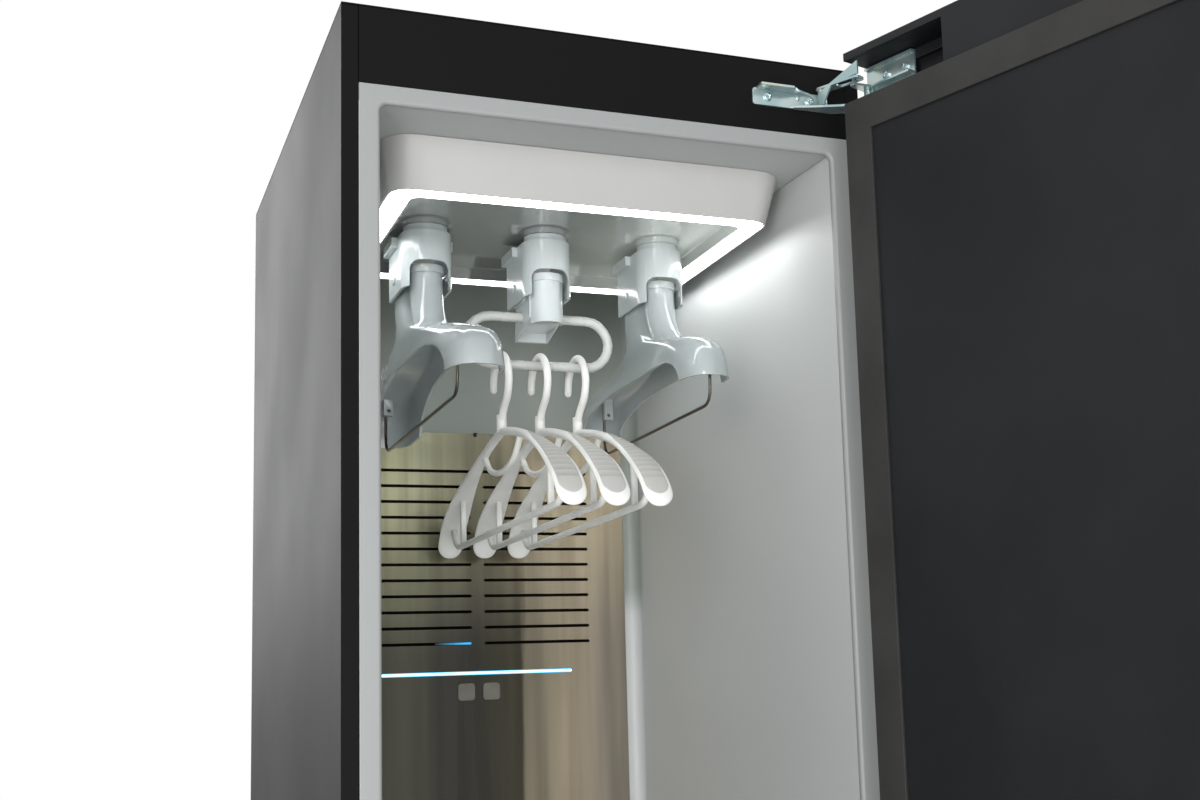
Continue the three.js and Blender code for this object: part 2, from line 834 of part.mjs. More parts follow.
const ringInset = lampWall + touchGap;
const ringInnerRadius = ringBandWidth / 2;
const panelInset = ringInset + ringBandWidth - lampWall + touchGap;

function ringPlate(half, front, back, radius, band, z0, z1) {
  const outer = loft([z0, z1].map((z) => roundedRing(half, front, back, radius, z)));
  const inner = loft([
    roundedRing(half - band, front + band, back - band, ringInnerRadius, z0 - cutOverrun),
    roundedRing(half - band, front + band, back - band, ringInnerRadius, z1 + cutOverrun),
  ]);
  return cut(outer, inner);
}

function lampRing() {
  const low = drop(lampDrop);
  return ringPlate(lampHalf - ringInset, lampFront + ringInset, lampBack - ringInset,
    lampCornerRadius - ringInset, ringBandWidth - lampWall, low, low + ringThickness);
}

function lampPanel() {
  const low = drop(lampDrop);
  const half = lampHalf - panelInset;
  const front = lampFront + panelInset;
  const back = lampBack - panelInset;
  const radius = ringInnerRadius - touchGap;
  const high = low + recessDepth + panelRimWall;
  const outer = loft([low, high].map((z) => roundedRing(half, front, back, radius, z)));
  const rim = panelRimWall;
  const inner = loft([
    roundedRing(half - rim, front + rim, back - rim, radius - rim, low - cutOverrun),
    roundedRing(half - rim, front + rim, back - rim, radius - rim, low + recessDepth),
  ]);
  const holes = dockPlaces().map((x) => rodZ(x, depth(dockSetback), stubBore, low, high + cutOverrun, 6));
  return cut(outer, inner, ...holes);
}

function dockPlaces() {
  return [-dockSpacing, 0, dockSpacing];
}

place('lamp_housing', lampHousing(), lampGrey);
place('lamp_ring', lampRing(), lightWhite);
place('lamp_panel', lampPanel(), panelGrey);

// Air manifold above the ceiling, feeding the three docks
function airManifold() {
  const half = dockSpacing + collarRadius * 2;
  const front = depth(manifoldSetback);
  const low = cabinTop + linerThickness + touchGap;
  const shape = roundedRectangle(-half, half, front, front + manifoldDepth, collarRadius);
  return extrudeZ(shape, low, low + manifoldHeight);
}

place('air_manifold', airManifold(), blackPlastic);

// Docks: a round collar with a front arch, two cheeks and clip tabs
const panelFace = drop(lampDrop) + recessDepth;
const collarTop = panelFace - collarTopGap;
const collarFoot = collarTop - collarHeight;
const dockY = depth(dockSetback);
const pinY = depth(pinSetback);
const pinZ = drop(pinDrop);

function dockPlan(x, radius, rear) {
  const shape = new THREE.Shape();
  shape.moveTo(x + radius, rear);
  shape.lineTo(x - radius, rear);
  shape.lineTo(x - radius, dockY);
  shape.absarc(x, dockY, radius, Math.PI, Math.PI * 2);
  shape.lineTo(x + radius, rear);
  return shape;
}

function dock(x) {
  const rear = depth(cheekSetback);
  const bore = collarRadius - collarWall;
  const outer = extrudeZ(dockPlan(x, collarRadius, rear), collarFoot, collarTop, 7);
  const hollow = extrudeZ(dockPlan(x, bore, rear + cutOverrun), collarFoot - cutOverrun,
    collarTop - shelfThickness, 7);
  const duct = rodZ(x, dockY, stubBore, collarFoot, panelFace, 6);
  const stub = cut(rodZ(x, dockY, stubRadius, collarTop - touchGap, panelFace - touchGap, 6), duct);
  const half = archWidth / 2;
  const archTop = collarFoot + archHeight;
  const archLine = roundedRectangle(x - half, x + half, collarFoot - archRadius * 2, archTop, archRadius);
  const arch = extrudeY(archLine, dockY - collarRadius - cutOverrun, dockY, 2);
  const bossCut = rodX(pinY, pinZ, pinRadius + pinClearance, x - collarRadius - cutOverrun,
    x + collarRadius + cutOverrun);
  const tabZ = collarTop - tabHeight;
  const tabs = [-1, 1].map((side) => {
    const inner = x + side * (collarRadius - collarWall / 2);
    const outerX = x + side * (collarRadius + tabReach);
    const y0 = depth(tabSetback) - tabLength / 2;
    return block(Math.min(inner, outerX), Math.max(inner, outerX), y0, y0 + tabLength, tabZ, collarTop);
  });
  const rearTrim = block(x - collarRadius - tabReach - cutOverrun, x + collarRadius + tabReach + cutOverrun,
    rear, rear + tabLength, tabZ - cutOverrun, collarTop + cutOverrun);
  return cut(join(cut(outer, hollow, arch, duct, bossCut), stub, ...tabs), rearTrim);
}

function dockPin(x) {
  const reach = collarRadius + touchGap;
  const shaft = rodX(pinY, pinZ, pinRadius, x - reach - pinHeadHeight, x + reach);
  const heads = [-1, 1].map((side) => {
    const near = x + side * reach;
    const far = x + side * (reach + pinHeadHeight);
    return rodX(pinY, pinZ, pinHeadRadius, Math.min(near, far), Math.max(near, far));
  });
  return join(shaft, ...heads);
}

const dockNames = ['left', 'middle', 'right'];
dockPlaces().forEach((x, i) => {
  place(`${dockNames[i]}_dock`, dock(x), hangerGrey);
  place(`${dockNames[i]}_dock_pin`, dockPin(x), hangerGrey);
});

// A neck: a ringed tube that drops from the dock and bends forward into the hanger's hood
const neckEndLeanShare = 0.72;
const neckEndSwellShare = 0.07;
const neckFallShare = 1.25;

function neckStations(size) {
  const top = drop(neckTopDrop);
  const reach = depth(size.neckEndSetback) - dockY;
  const fall = top - drop(size.neckEndDrop);
  const stations = [];
  for (let i = 0; i <= neckSteps; i += 1) {
    const t = i / neckSteps;
    const ease = t * t;
    stations.push({
      y: dockY + reach * ease * t,
      z: top - fall * (t * neckFallShare - ease * (neckFallShare - 1)),
      lean: ease * (Math.PI / 2) * neckEndLeanShare,
      radius: neckRadius * (1 + ease * neckEndSwellShare),
    });
  }
  return stations;
}

function neckSweep(x, stations, shrink) {
  const rings = stations.map(({ y, z, lean, radius }) => {
    const ring = [];
    for (let i = 0; i < neckSides; i += 1) {
      const turn = (i / neckSides) * Math.PI * 2;
      const across = (radius - shrink) * Math.cos(turn);
      const along = (radius - shrink) * Math.sin(turn);
      ring.push(new THREE.Vector3(x + across, y + along * Math.cos(lean), z - along * Math.sin(lean)));
    }
    return ring;
  });
  return loft(rings.reverse());
}

// Level outlines of an air hanger from the neck down to its rim, as shares of its own sizes:
// fall from the neck's top to the rim, front from the web to the front tip, full from the web's
// widest place to the hood's corner, wide from the web to the rim, rear from the waist to the rear tip
const leftHullShares = [
  [0, 0, 0, 0, 0.013], [0.24, 0, 0, 0, 0],
  [0.364, 0.04, 0.055, 0, 0.03], [0.439, 0.08, 0.17, 0.05, 0.08],
  [0.492, 0.2, 0.29, 0.15, 0.155], [0.53, 0.31, 0.38, 0.25, 0.25],
  [0.561, 0.42, 0.44, 0.35, 0.37], [0.606, 0.57, 0.52, 0.5, 0.62],
  [0.652, 0.7, 0.61, 0.65, 0.83], [0.697, 0.8, 0.71, 0.8, 0.9],
  [0.735, 0.88, 0.8, 0.9, 0.935], [0.78, 0.935, 0.88, 1, 0.96],
  [0.848, 0.975, 0.95, 1, 0.98], [1, 1, 1, 1, 1],
];
const rightHullShares = [
  [0, 0, 0, 0, 0.013], [0.277, 0, 0, 0, 0],
  [0.415, 0.06, 0.08, 0, 0.03], [0.502, 0.125, 0.26, 0.05, 0.08],
  [0.554, 0.31, 0.46, 0.15, 0.145], [0.588, 0.48, 0.56, 0.25, 0.215],
  [0.623, 0.66, 0.64, 0.4, 0.316], [0.657, 0.77, 0.72, 0.55, 0.475],
  [0.709, 0.87, 0.81, 0.75, 0.823], [0.779, 0.94, 0.89, 0.9, 0.918],
  [0.865, 0.977, 0.95, 1, 0.968], [1, 1, 1, 1, 1],
];
const hollowStartRow = 3;
const noseSquareness = 2.5;

// One level outline: a squarish nose, straight sides and a round tail
function hullRing(x, z, front, full, rear, half) {
  const ring = [];
  const noseRun = full - front;
  const tailRun = Math.min(half, (rear - full) / 2);
  const bulge = (value) => Math.sign(value) * Math.abs(value) ** (2 / noseSquareness);
  for (let i = 0; i <= hullNoseSteps; i += 1) {
    const turn = (i / hullNoseSteps - 1 / 2) * Math.PI;
    const y = full - noseRun * bulge(Math.cos(turn));
    ring.push(new THREE.Vector3(x + half * bulge(Math.sin(turn)), y, z));
  }
  for (let i = 0; i <= hullNoseSteps; i += 1) {
    const turn = (1 / 2 - i / hullNoseSteps) * Math.PI;
    ring.push(new THREE.Vector3(x + half * Math.sin(turn), rear - tailRun * (1 - Math.cos(turn)), z));
  }
  return ring;
}

function hangerHull(x, size, rows, wall) {
  const top = drop(neckTopDrop);
  const height = top - drop(size.rimDrop);
  const between = (from, to, share) => from + (to - from) * share;
  const rings = rows.map(([fall, front, full, wide, rear]) => hullRing(
    x,
    top - height * fall - wall,
    depth(between(webFrontSetback, size.frontSetback, front)) + wall,
    depth(between(webFullSetback, size.cornerSetback, full)),
    depth(between(webWaistSetback, size.rearSetback, rear)) - wall,
    between(hangerWebHalfWidth, size.halfWidth, wide) - wall,
  ));
  return loft(rings.reverse());
}

// The side walls end in a long arch between the hood's corner and the rear foot
function rimArch(size) {
  const rim = drop(size.rimDrop);
  const crown = drop(archCrownDrop);
  const low = rim - cutOverrun;
  const front = depth(size.cornerSetback);
  const rear = depth(size.archRearSetback);
  const points = [[front, low]];
  for (let i = 0; i <= archSteps; i += 1) {
    const turn = (i / archSteps) * (Math.PI / 2);
    points.push([front + size.archFrontRun * (1 - Math.cos(turn)), rim + (crown - rim) * Math.sin(turn)]);
  }
  for (let i = archSteps; i >= 0; i -= 1) {
    const turn = (i / archSteps) * (Math.PI / 2);
    points.push([rear - size.archRearRun * (1 - Math.cos(turn)), rim + (crown - rim) * Math.sin(turn)]);
  }
  points.push([rear, low]);
  return polygon(points);
}

function airHanger(x, size, shares) {
  const hull = hangerHull(x, size, shares, 0);
  const hollow = hangerHull(x, size, shares.slice(hollowStartRow), hangerWall);
  const reach = size.halfWidth + cutOverrun;
  const arch = extrudeX(rimArch(size), x - reach, x + reach);
  const stations = neckStations(size);
  const end = stations[neckSteps];
  const before = stations[neckSteps - 1];
  const beyond = { ...end, y: end.y * 2 - before.y, z: end.z * 2 - before.z };
  const neck = neckSweep(x, stations, 0);
  const bore = neckSweep(x, [...stations, beyond], neckWall);
  const ringTop = drop(neckTopDrop);
  const ring = rodZ(x, dockY, neckRingRadius, ringTop - neckRingHeight, ringTop, 8);
  const mouth = rodZ(x, dockY, neckRadius - neckWall, ringTop - cutOverrun, ringTop + cutOverrun, 8);
  const pinHole = rodX(pinY, pinZ, pinRadius + pinClearance, x - reach, x + reach);
  const eye = drop(wireEyeDrop);
  const frontBoss = depth(size.wireFrontSetback) + wireBossGap;
  const rearBoss = depth(size.wireRearSetback) - wireBossGap;
  const bossLength = wirePinLength - wireBossGap;
  const bossAt = (y0) => block(x - wireBossWidth / 2, x + wireBossWidth / 2, y0, y0 + bossLength,
    eye - wireBossWidth / 2, drop(archCrownDrop) + bossRise).intersect(hull);
  const bosses = join(bossAt(frontBoss), bossAt(rearBoss - bossLength));
  const wireHole = rodY(x, eye, wireRadius + touchGap, frontBoss - cutOverrun, rearBoss + cutOverrun, 4);
  const shell = cut(join(hull, neck, ring), hollow, arch, bore, mouth, pinHole);
  return cut(join(shell, bosses), wireHole);
}

// A trouser wire hangs under each air hanger from two eyes
function trouserWire(x, size) {
  const front = depth(size.wireFrontSetback);
  const rear = depth(size.wireRearSetback);
  const eye = drop(wireEyeDrop);
  const bar = drop(wireBarDrop);
  const points = [
    [front + wirePinLength, eye], [front, eye], [front, bar],
    [rear, bar], [rear, eye], [rear - wirePinLength, eye],
  ];
  const path = route(points.map(([y, z]) => new THREE.Vector3(x, y, z)), wireCornerRadius);
  return roundBar(path, wireRadius, wireSides, alongX);
}

// The two hangers differ: the left one reaches further forward and hangs lower
place('left_air_hanger', airHanger(-dockSpacing, leftHanger, leftHullShares), hangerGrey);
place('left_trouser_wire', trouserWire(-dockSpacing, leftHanger), darkWire);
place('right_air_hanger', airHanger(dockSpacing, rightHanger, rightHullShares), hangerGrey);
place('right_trouser_wire', trouserWire(dockSpacing, rightHanger), darkWire);

// Middle outlet: a ringed spout, a tongue on the pin and a wedge that holds the rail
function middleOutlet() {
  const top = drop(neckTopDrop);
  const spoutFoot = drop(outletSpoutDrop);
  const wedgeFoot = drop(outletWedgeDrop);
  const spout = rodZ(0, dockY, neckRadius, spoutFoot, top, 6);
  const ring = rodZ(0, dockY, neckRingRadius, top - neckRingHeight, top, 6);
  const near = dockY;
  const wedge = extrudeX(polygon([
    [near, wedgeFoot + outletWedgeRun / 2], [pinY + outletWedgeRun, wedgeFoot],
    [pinY + tongueHalfLength, collarFoot], [pinY + tongueHalfLength - collarWall, top], [near, top],
  ]), -outletHalfWidth, outletHalfWidth);
  const tongue = block(-hangerWebHalfWidth, hangerWebHalfWidth, pinY - neckRadius,
    pinY + tongueHalfLength - collarWall, collarFoot, top);
  const wall = neckWall;
  const wedgeHollow = extrudeX(polygon([
    [near + wall, wedgeFoot - cutOverrun], [pinY + outletWedgeRun - wall, wedgeFoot - cutOverrun],
    [pinY + outletWedgeRun - wall * 2, drop(railTopDrop) - railRadius * 2],
    [near + wall, drop(railTopDrop) - railRadius * 2],
  ]), -outletHalfWidth + wall, outletHalfWidth - wall);
  const bore = rodZ(0, dockY, neckRadius - wall, spoutFoot - cutOverrun, top + cutOverrun, 6);
  const pinHole = rodX(pinY, pinZ, pinRadius + pinClearance, -hangerWebHalfWidth - cutOverrun,
    hangerWebHalfWidth + cutOverrun);
  const sockets = [-1, 1].map((side) => {
    const seat = side * (outletHalfWidth - railSocketDepth);
    const mouth = side * (outletHalfWidth + cutOverrun);
    return rodX(pinY, drop(railTopDrop), railRadius + touchGap, Math.min(seat, mouth), Math.max(seat, mouth));
  });
  return cut(join(spout, ring, wedge, tongue), bore, wedgeHollow, pinHole, ...sockets);
}

// Loop rail: one bar bent back on itself, its ends held in the outlet
function loopRail() {
  const high = drop(railTopDrop);
  const low = drop(railBarDrop);
  const radius = (high - low) / 2;
  const middle = (high + low) / 2;
  const end = outletHalfWidth - railSocketDepth + touchGap;
  const straight = railHalfLength - radius;
  const points = [new THREE.Vector3(-end, pinY, high)];
  for (const side of [-1, 1]) {
    for (let i = 0; i <= railBendSteps; i += 1) {
      const turn = -side * (Math.PI / 2) + (i / railBendSteps) * Math.PI;
      points.push(new THREE.Vector3(side * straight + radius * Math.cos(turn), pinY,
        middle + radius * Math.sin(turn)));
    }
  }
  points.push(new THREE.Vector3(end, pinY, high));
  return roundBar(points, railRadius, railSides, alongY);
}

place('middle_outlet', middleOutlet(), hangerGrey);
place('loop_rail', loopRail(), railGrey);

// Garment hangers: hook, stem, arched shoulders with broad pads, struts, notch and bar
const garmentCentre = pinY;

// Points of the hook below its round top, as shares of its radius
const hookFrontShares = [[-0.8, -0.48], [-0.3, -0.86]];
const hookFootShare = 1.22;
const stemTopShare = 1.05;

function garmentHook(x) {
  const railCrown = drop(railBarDrop) + railRadius;
  const radius = garmentHookRadius;
  const centreZ = railCrown + touchGap + garmentHookThickness - radius;
  const places = [];
  for (let i = 0; i <= 4; i += 1) {
    const turn = (i / 4) * Math.PI;
    places.push([radius * Math.cos(turn), centreZ + radius * Math.sin(turn)]);
  }
  places.push(...hookFrontShares.map(([across, up]) => [radius * across, centreZ + radius * up]));
  places.push([0, centreZ - radius * hookFootShare]);
  const points = places.map(([y, z]) => new THREE.Vector3(x, garmentCentre + y, z));
  const curve = new THREE.CatmullRomCurve3(points);
  const hook = roundBar(curve.getPoints(garmentHookSteps), garmentHookThickness, garmentSides, alongX);
  const stemTop = centreZ - radius * stemTopShare;
  const stem = rodZ(x, garmentCentre, garmentStemRadius, drop(garmentCrestDrop), stemTop);
  return join(hook, stem);
}

// The shoulder line in height over its run from the middle, 0 to 1
const archRunPower = 1.3;
const archFallPower = 0.55;

function shoulderPoint(share) {
  const half = garmentSpan / 2;
  const run = Math.sin(share * (Math.PI / 2));
  const fall = (garmentPadDrop - garmentCrestDrop) * (1 - (1 - run ** archRunPower) ** archFallPower);
  return new THREE.Vector2(half * run, drop(garmentCrestDrop) - fall);
}

function shoulderHeight(reach) {
  const share = Math.asin(reach / (garmentSpan / 2)) / (Math.PI / 2);
  return shoulderPoint(share).y;
}

// Stations from the middle to the tip, closer together where the pad rounds off
const shoulderShares = [0, 0.14, 0.28, 0.41, 0.53, 0.63, 0.72, 0.8, 0.87, 0.92, 0.955, 0.98, 0.995];
const padStartShare = 0.12;
const padFullShare = 0.7;
const padTipShare = 0.86;
const nudgeShare = 0.01;

function garmentArch(x) {
  const rings = [];
  for (const side of [-1, 1]) {
    const shares = side < 0 ? shoulderShares.slice(1).reverse() : shoulderShares;
    for (const share of shares) {
      const here = shoulderPoint(share);
      const ahead = shoulderPoint(Math.min(share + nudgeShare, 1));
      const behind = shoulderPoint(Math.max(share - nudgeShare, 0));
      const lean = share === 0 ? 0 : Math.atan2(behind.y - ahead.y, ahead.x - behind.x);
      const spread = THREE.MathUtils.smoothstep(share, padStartShare, padFullShare);
      const tip = Math.max(0, (share - padTipShare) / (1 - padTipShare));
      const wide = garmentArchThickness + (garmentPadWidth - garmentArchThickness) * spread;
      const thick = garmentArchThickness + (garmentPadThickness - garmentArchThickness) * spread;
      rings.push(archRing(x, garmentCentre + side * here.x, here.y, (wide / 2) * Math.sqrt(1 - tip * tip),
        thick / 2, side * lean));
    }
  }
  return loft(rings);
}

function archRing(x, y, z, wide, thick, lean) {
  const ring = [];
  for (let i = 0; i < archRingSides; i += 1) {
    const turn = (i / archRingSides) * Math.PI * 2;
    const across = wide * Math.cos(turn);
    const up = thick * Math.sin(turn);
    ring.push(new THREE.Vector3(x + across, y + up * Math.sin(lean), z + up * Math.cos(lean)));
  }
  return ring.reverse();
}

// Points of the smile-shaped notch bar, as shares of its half span and its fall
const notchSideShare = 0.62;
const notchSideFallShare = 0.26;

function garmentFrame(x) {
  const bar = drop(garmentBarDrop);
  const half = garmentBarSpan / 2;
  const strut = garmentStrutSpacing / 2;
  const reach = garmentBarReach / 2;
  const point = (y, z) => new THREE.Vector3(x, garmentCentre + y, z);
  const end = shoulderHeight(reach);
  const barPath = route([point(-reach, end), point(-half, bar), point(half, bar), point(reach, end)],
    garmentBarCornerRadius);
  const parts = [roundBar(barPath, garmentBarRadius, garmentFrameSides, alongX)];
  for (const side of [-1, 1]) {
    const y = garmentCentre + side * strut;
    parts.push(block(x - garmentStrutWidth / 2, x + garmentStrutWidth / 2,
      y - garmentStrutWidth / 2, y + garmentStrutWidth / 2, bar, shoulderHeight(strut)));
  }
  const notchHigh = shoulderHeight(garmentNotchHalfSpan);
  const notchLow = drop(garmentNotchDrop);
  const notchSide = notchLow + (notchHigh - notchLow) * notchSideFallShare;
  const notch = new THREE.CatmullRomCurve3([
    point(-garmentNotchHalfSpan, notchHigh), point(-garmentNotchHalfSpan * notchSideShare, notchSide),
    point(0, notchLow),
    point(garmentNotchHalfSpan * notchSideShare, notchSide), point(garmentNotchHalfSpan, notchHigh),
  ]);
  parts.push(roundBar(notch.getPoints(garmentNotchSteps), garmentNotchRadius, garmentFrameSides, alongX));
  return parts;
}

[-1, 0, 1].forEach((slot, i) => {
  const x = slot * garmentSpacing;
  place(`garment_hanger_${i + 1}`, join(garmentArch(x), garmentHook(x), ...garmentFrame(x)), hangerWhite);
});

// Door, modelled shut and turned open about the hinge pivots
const pivotX = halfWidth - pivotInset;
const pivotY = frontY - pivotSetforward;
const doorGroup = new THREE.Group();
doorGroup.position.set(pivotX, pivotY, 0);
doorGroup.rotation.z = THREE.MathUtils.degToRad(doorOpenAngle);
cabinet.add(doorGroup);
const placeOnDoor = (name, manifold, material) => {
  place(name, manifold.translate([-pivotX, -pivotY, 0]), material, doorGroup);
};

const doorHalf = halfWidth - doorSideGap;
const doorInnerY = frontY - doorGap;
const doorOuterY = doorInnerY - doorThickness;
const doorLow = footHeight;
const doorBackOfFront = doorOuterY + doorFrontThickness + touchGap;

function hingeHeights() {
  return [drop(hingePlateDrop), lowerHingeHeight];
}

// The pocket in the door that takes a hinge is open towards the cabinet and towards the side
function hingePockets(floorY) {
  return hingeHeights().map((high) => block(doorHalf - pocketLength, doorHalf + cutOverrun, floorY,
    doorInnerY + cutOverrun, high - hingePlateHeight - pocketMargin, high + pocketTopMargin));
}

function doorFrame() {
  const outer = block(-doorHalf, doorHalf, doorBackOfFront, doorInnerY - touchGap - doorInnerThickness,
    doorLow, bodyHeight);
  const hollow = block(-doorHalf + doorRimWall, doorHalf - doorRimWall, doorBackOfFront - cutOverrun,
    doorInnerY + cutOverrun, doorLow + doorRimWall, bodyHeight - doorRimWall);
  return cut(outer, hollow, ...hingePockets(doorBackOfFront + pocketFloor));
}

function doorFront() {
  const options = {
    depth: doorFrontThickness - doorFrontRadius, bevelEnabled: true, bevelThickness: doorFrontRadius,
    bevelSize: doorFrontRadius, bevelOffset: -doorFrontRadius, bevelSegments: 2, curveSegments: 2,
  };
  const outline = roundedRectangle(-doorHalf, doorHalf, doorLow, bodyHeight, doorFrontRadius * 2);
  const geometry = new THREE.ExtrudeGeometry(outline, options);
  const plateY = doorOuterY + doorFrontThickness - doorFrontRadius;
  const plate = solid(geometry.rotateX(Math.PI / 2).translate(0, plateY, 0));
  const trim = block(-halfWidth, halfWidth, doorOuterY + doorFrontThickness, doorInnerY,
    0, bodyHeight + cutOverrun);
  return cut(plate, trim);
}

function doorInner() {
  const back = doorInnerY - doorInnerThickness;
  const plate = block(-doorHalf, doorHalf, back, doorInnerY, doorLow, bodyHeight);
  return cut(plate, gasketSeat(touchGap), ...hingePockets(back - cutOverrun));
}

function gasketSeat(grow) {
  const half = doorHalf - touchGap * 2 + grow;
  const low = gasketFoot - grow;
  const high = drop(gasketDrop) + grow;
  const band = gasketWidth + grow * 2;
  const back = doorInnerY - gasketGroove / 2 - grow;
  const outer = block(-half, half, back, doorInnerY + gasketHeight, low, high);
  const inner = block(-half + band, half - band, doorInnerY - gasketGroove,
    doorInnerY + gasketHeight + cutOverrun, low + band, high - band);
  return cut(outer, inner);
}

placeOnDoor('door_frame', doorFrame(), blackPlastic);
placeOnDoor('door_front', doorFront(), doorGlass);
placeOnDoor('door_inner_panel', doorInner(), blackPlastic);
placeOnDoor('door_gasket', cut(gasketSeat(0), ...hingePockets(doorInnerY - gasketGroove)), gasketGrey);

// Hinges: a folded base on the cabinet, an arm in the door and a slotted link between them
const linkX = halfWidth - linkPivotInset;
const linkY = frontY - linkPivotSetforward;

function hingeBase(high) {
  const low = high - hingePlateHeight;
  const right = halfWidth - hingePlateInset;
  const left = right - hingePlateLength;
  const middle = (left + right) / 2;
  const face = frontY - touchGap;
  const outline = roundedRectangle(left, right, low, high, hingeCornerRadius);
  const web = extrudeY(outline, face - hingeSheet, face, 2);
  const flange = extrudeZ(polygon([
    [left + hingeCornerRadius, face], [left + hingeCornerRadius, face - hingeFlangeReach],
    [middle, face - hingeFlangeReach],
    [middle + hingeFlangeStep, face - hingeFlangeReach + hingeFlangeStep],
    [linkX - hingeKnuckleRadius * 2, face - hingeSheet], [linkX - hingeKnuckleRadius * 2, face],
  ]), high - hingeSheet, high);
  const knuckle = hingeKnuckleRadius;
  const arm = new THREE.Shape();
  arm.moveTo(middle, face);
  arm.lineTo(middle + knuckle, face - knuckle);
  arm.quadraticCurveTo(linkX, face - knuckle * 3, pivotX - knuckle * 2, pivotY + knuckle / 3);
  arm.lineTo(pivotX, pivotY - knuckle);
  arm.absarc(pivotX, pivotY, knuckle, -Math.PI / 2, Math.PI / 4);
  arm.lineTo(pivotX - knuckle, face - knuckle * 2);
  arm.lineTo(right + knuckle * 2, face);
  const plate = extrudeZ(arm, low, low + hingeSheet, 3);
  const pin = rodZ(pivotX, pivotY, hingePinRadius, low, high + hingePinProud, 5);
  const linkPin = rodZ(linkX, linkY, hingePinRadius, low, high + linkPlateRise + linkSheet, 5);
  const screws = [-1, 1].map((side) => rodY(middle + (side * hingeScrewSpacing) / 2,
    (low + high) / 2, hingeScrewRadius, face - hingeSheet - hingeScrewHeight, face - hingeSheet / 2, 4));
  return join(web, flange, plate, pin, linkPin, ...screws);
}

function hingeArm(high) {
  const low = high - hingePlateHeight + hingeSheet + hingeSideClearance;
  const sheetLow = high - hingeSheet;
  const knuckle = hingeKnuckleRadius;
  const barrel = rodZ(pivotX, pivotY, knuckle, low, high, 5);
  const bore = rodZ(pivotX, pivotY, hingePinRadius + pinClearance, low - cutOverrun, high + cutOverrun, 5);
  const backY0 = doorBackOfFront + pocketFloor + touchGap;
  const left = pivotX - hingeArmLength;
  const pinX = pivotX - doorPinInset;
  const pinY0 = pivotY + doorPinReach;
  const plate = new THREE.Shape();
  plate.moveTo(left, backY0);
  plate.lineTo(pivotX, backY0);
  plate.lineTo(pivotX + knuckle, pivotY);
  plate.lineTo(pinX + knuckle * armNoseShare, pinY0);
  plate.lineTo(pinX + knuckle / 2, pinY0 + knuckle / 2);
  plate.lineTo(pinX - knuckle / 2, pinY0 + knuckle / 2);
  plate.lineTo(pinX - knuckle, pinY0 - knuckle);
  plate.lineTo(pivotX - knuckle * 2, backY0 + hingeArmDepth);
  plate.lineTo(left, backY0 + hingeArmDepth);
  const sheet = extrudeZ(plate, sheetLow, high);
  const side = doorHalf - touchGap;
  const top = high + hingeArmRise;
  const flange = block(left, side, backY0, backY0 + hingeSheet, low, top);
  const lip = block(left, side, backY0, backY0 + hingeArmLip, top - hingeSheet, top);
  const pin = rodZ(pinX, pinY0, linkPinRadius, sheetLow, high + linkPlateRise + linkSheet * 2, 4);
  const screws = [0, 1].map((i) => {
    const x = left + hingeArmScrewInset + i * (hingeArmLength - hingeArmScrewInset * 3);
    const y = backY0 + hingeSheet;
    return rodY(x, high + hingeArmScrewRise, hingeScrewRadius, y - hingeSheet / 2, y + hingeScrewHeight, 4);
  });
  return cut(join(barrel, sheet, flange, lip, pin, ...screws), bore);
}

// The link is drawn along +X from its pivot and turned to its place
function hingeLink(high) {
  const low = high - hingePlateHeight + hingeSheet + hingeSideClearance;
  const bore = hingePinRadius + pinClearance;
  const eyeRadius = bore + linkEyeWall;
  const top = high + linkPlateRise + linkSheet;
  const eye = rodZ(0, 0, eyeRadius, low, top, 5);
  const plate = extrudeZ(roundedRectangle(-eyeRadius, linkLength, -linkHalfWidth, linkHalfWidth,
    eyeRadius * roundEndShare), top - linkSheet, top, 2);
  const half = linkPinRadius + linkSlotClearance;
  const slotLine = roundedRectangle(linkSlotStart - half, linkSlotEnd, -half, half, half * roundEndShare);
  const slot = extrudeZ(slotLine, top - linkSheet - cutOverrun, top + cutOverrun, 2);
  const strip = extrudeY(polygon([
    [0, high - linkSheet / 2], [0, low], [linkCrankStart, low], [linkCrankEnd, top - linkSheet],
    [linkLength, high + linkCrankRise], [linkLength, high + linkTipHigh],
  ]), -linkHalfWidth, -linkHalfWidth + linkSheet);
  const hole = rodZ(0, 0, bore, low - cutOverrun, top + cutOverrun, 5);
  return cut(join(eye, plate, strip), slot, hole).rotate([0, 0, linkRestAngle]).translate([linkX, linkY, 0]);
}

hingeHeights().forEach((high, i) => {
  const level = ['upper', 'lower'][i];
  place(`${level}_hinge_base`, hingeBase(high), zincSteel);
  place(`${level}_hinge_link`, hingeLink(high), zincSteel);
  placeOnDoor(`${level}_hinge_arm`, hingeArm(high), zincSteel);
});

// Tank bay and two water tanks below the cabin
const bayLow = footHeight + kickHeight + touchGap;
const bayHigh = cabinFloorHeight - sillHeight - bayTopDrop;
const bayFront = frontY + stileReturn + touchGap;
const bayHalf = halfWidth - skinThickness - touchGap;
const trayFloor = footHeight + skinThickness + touchGap;

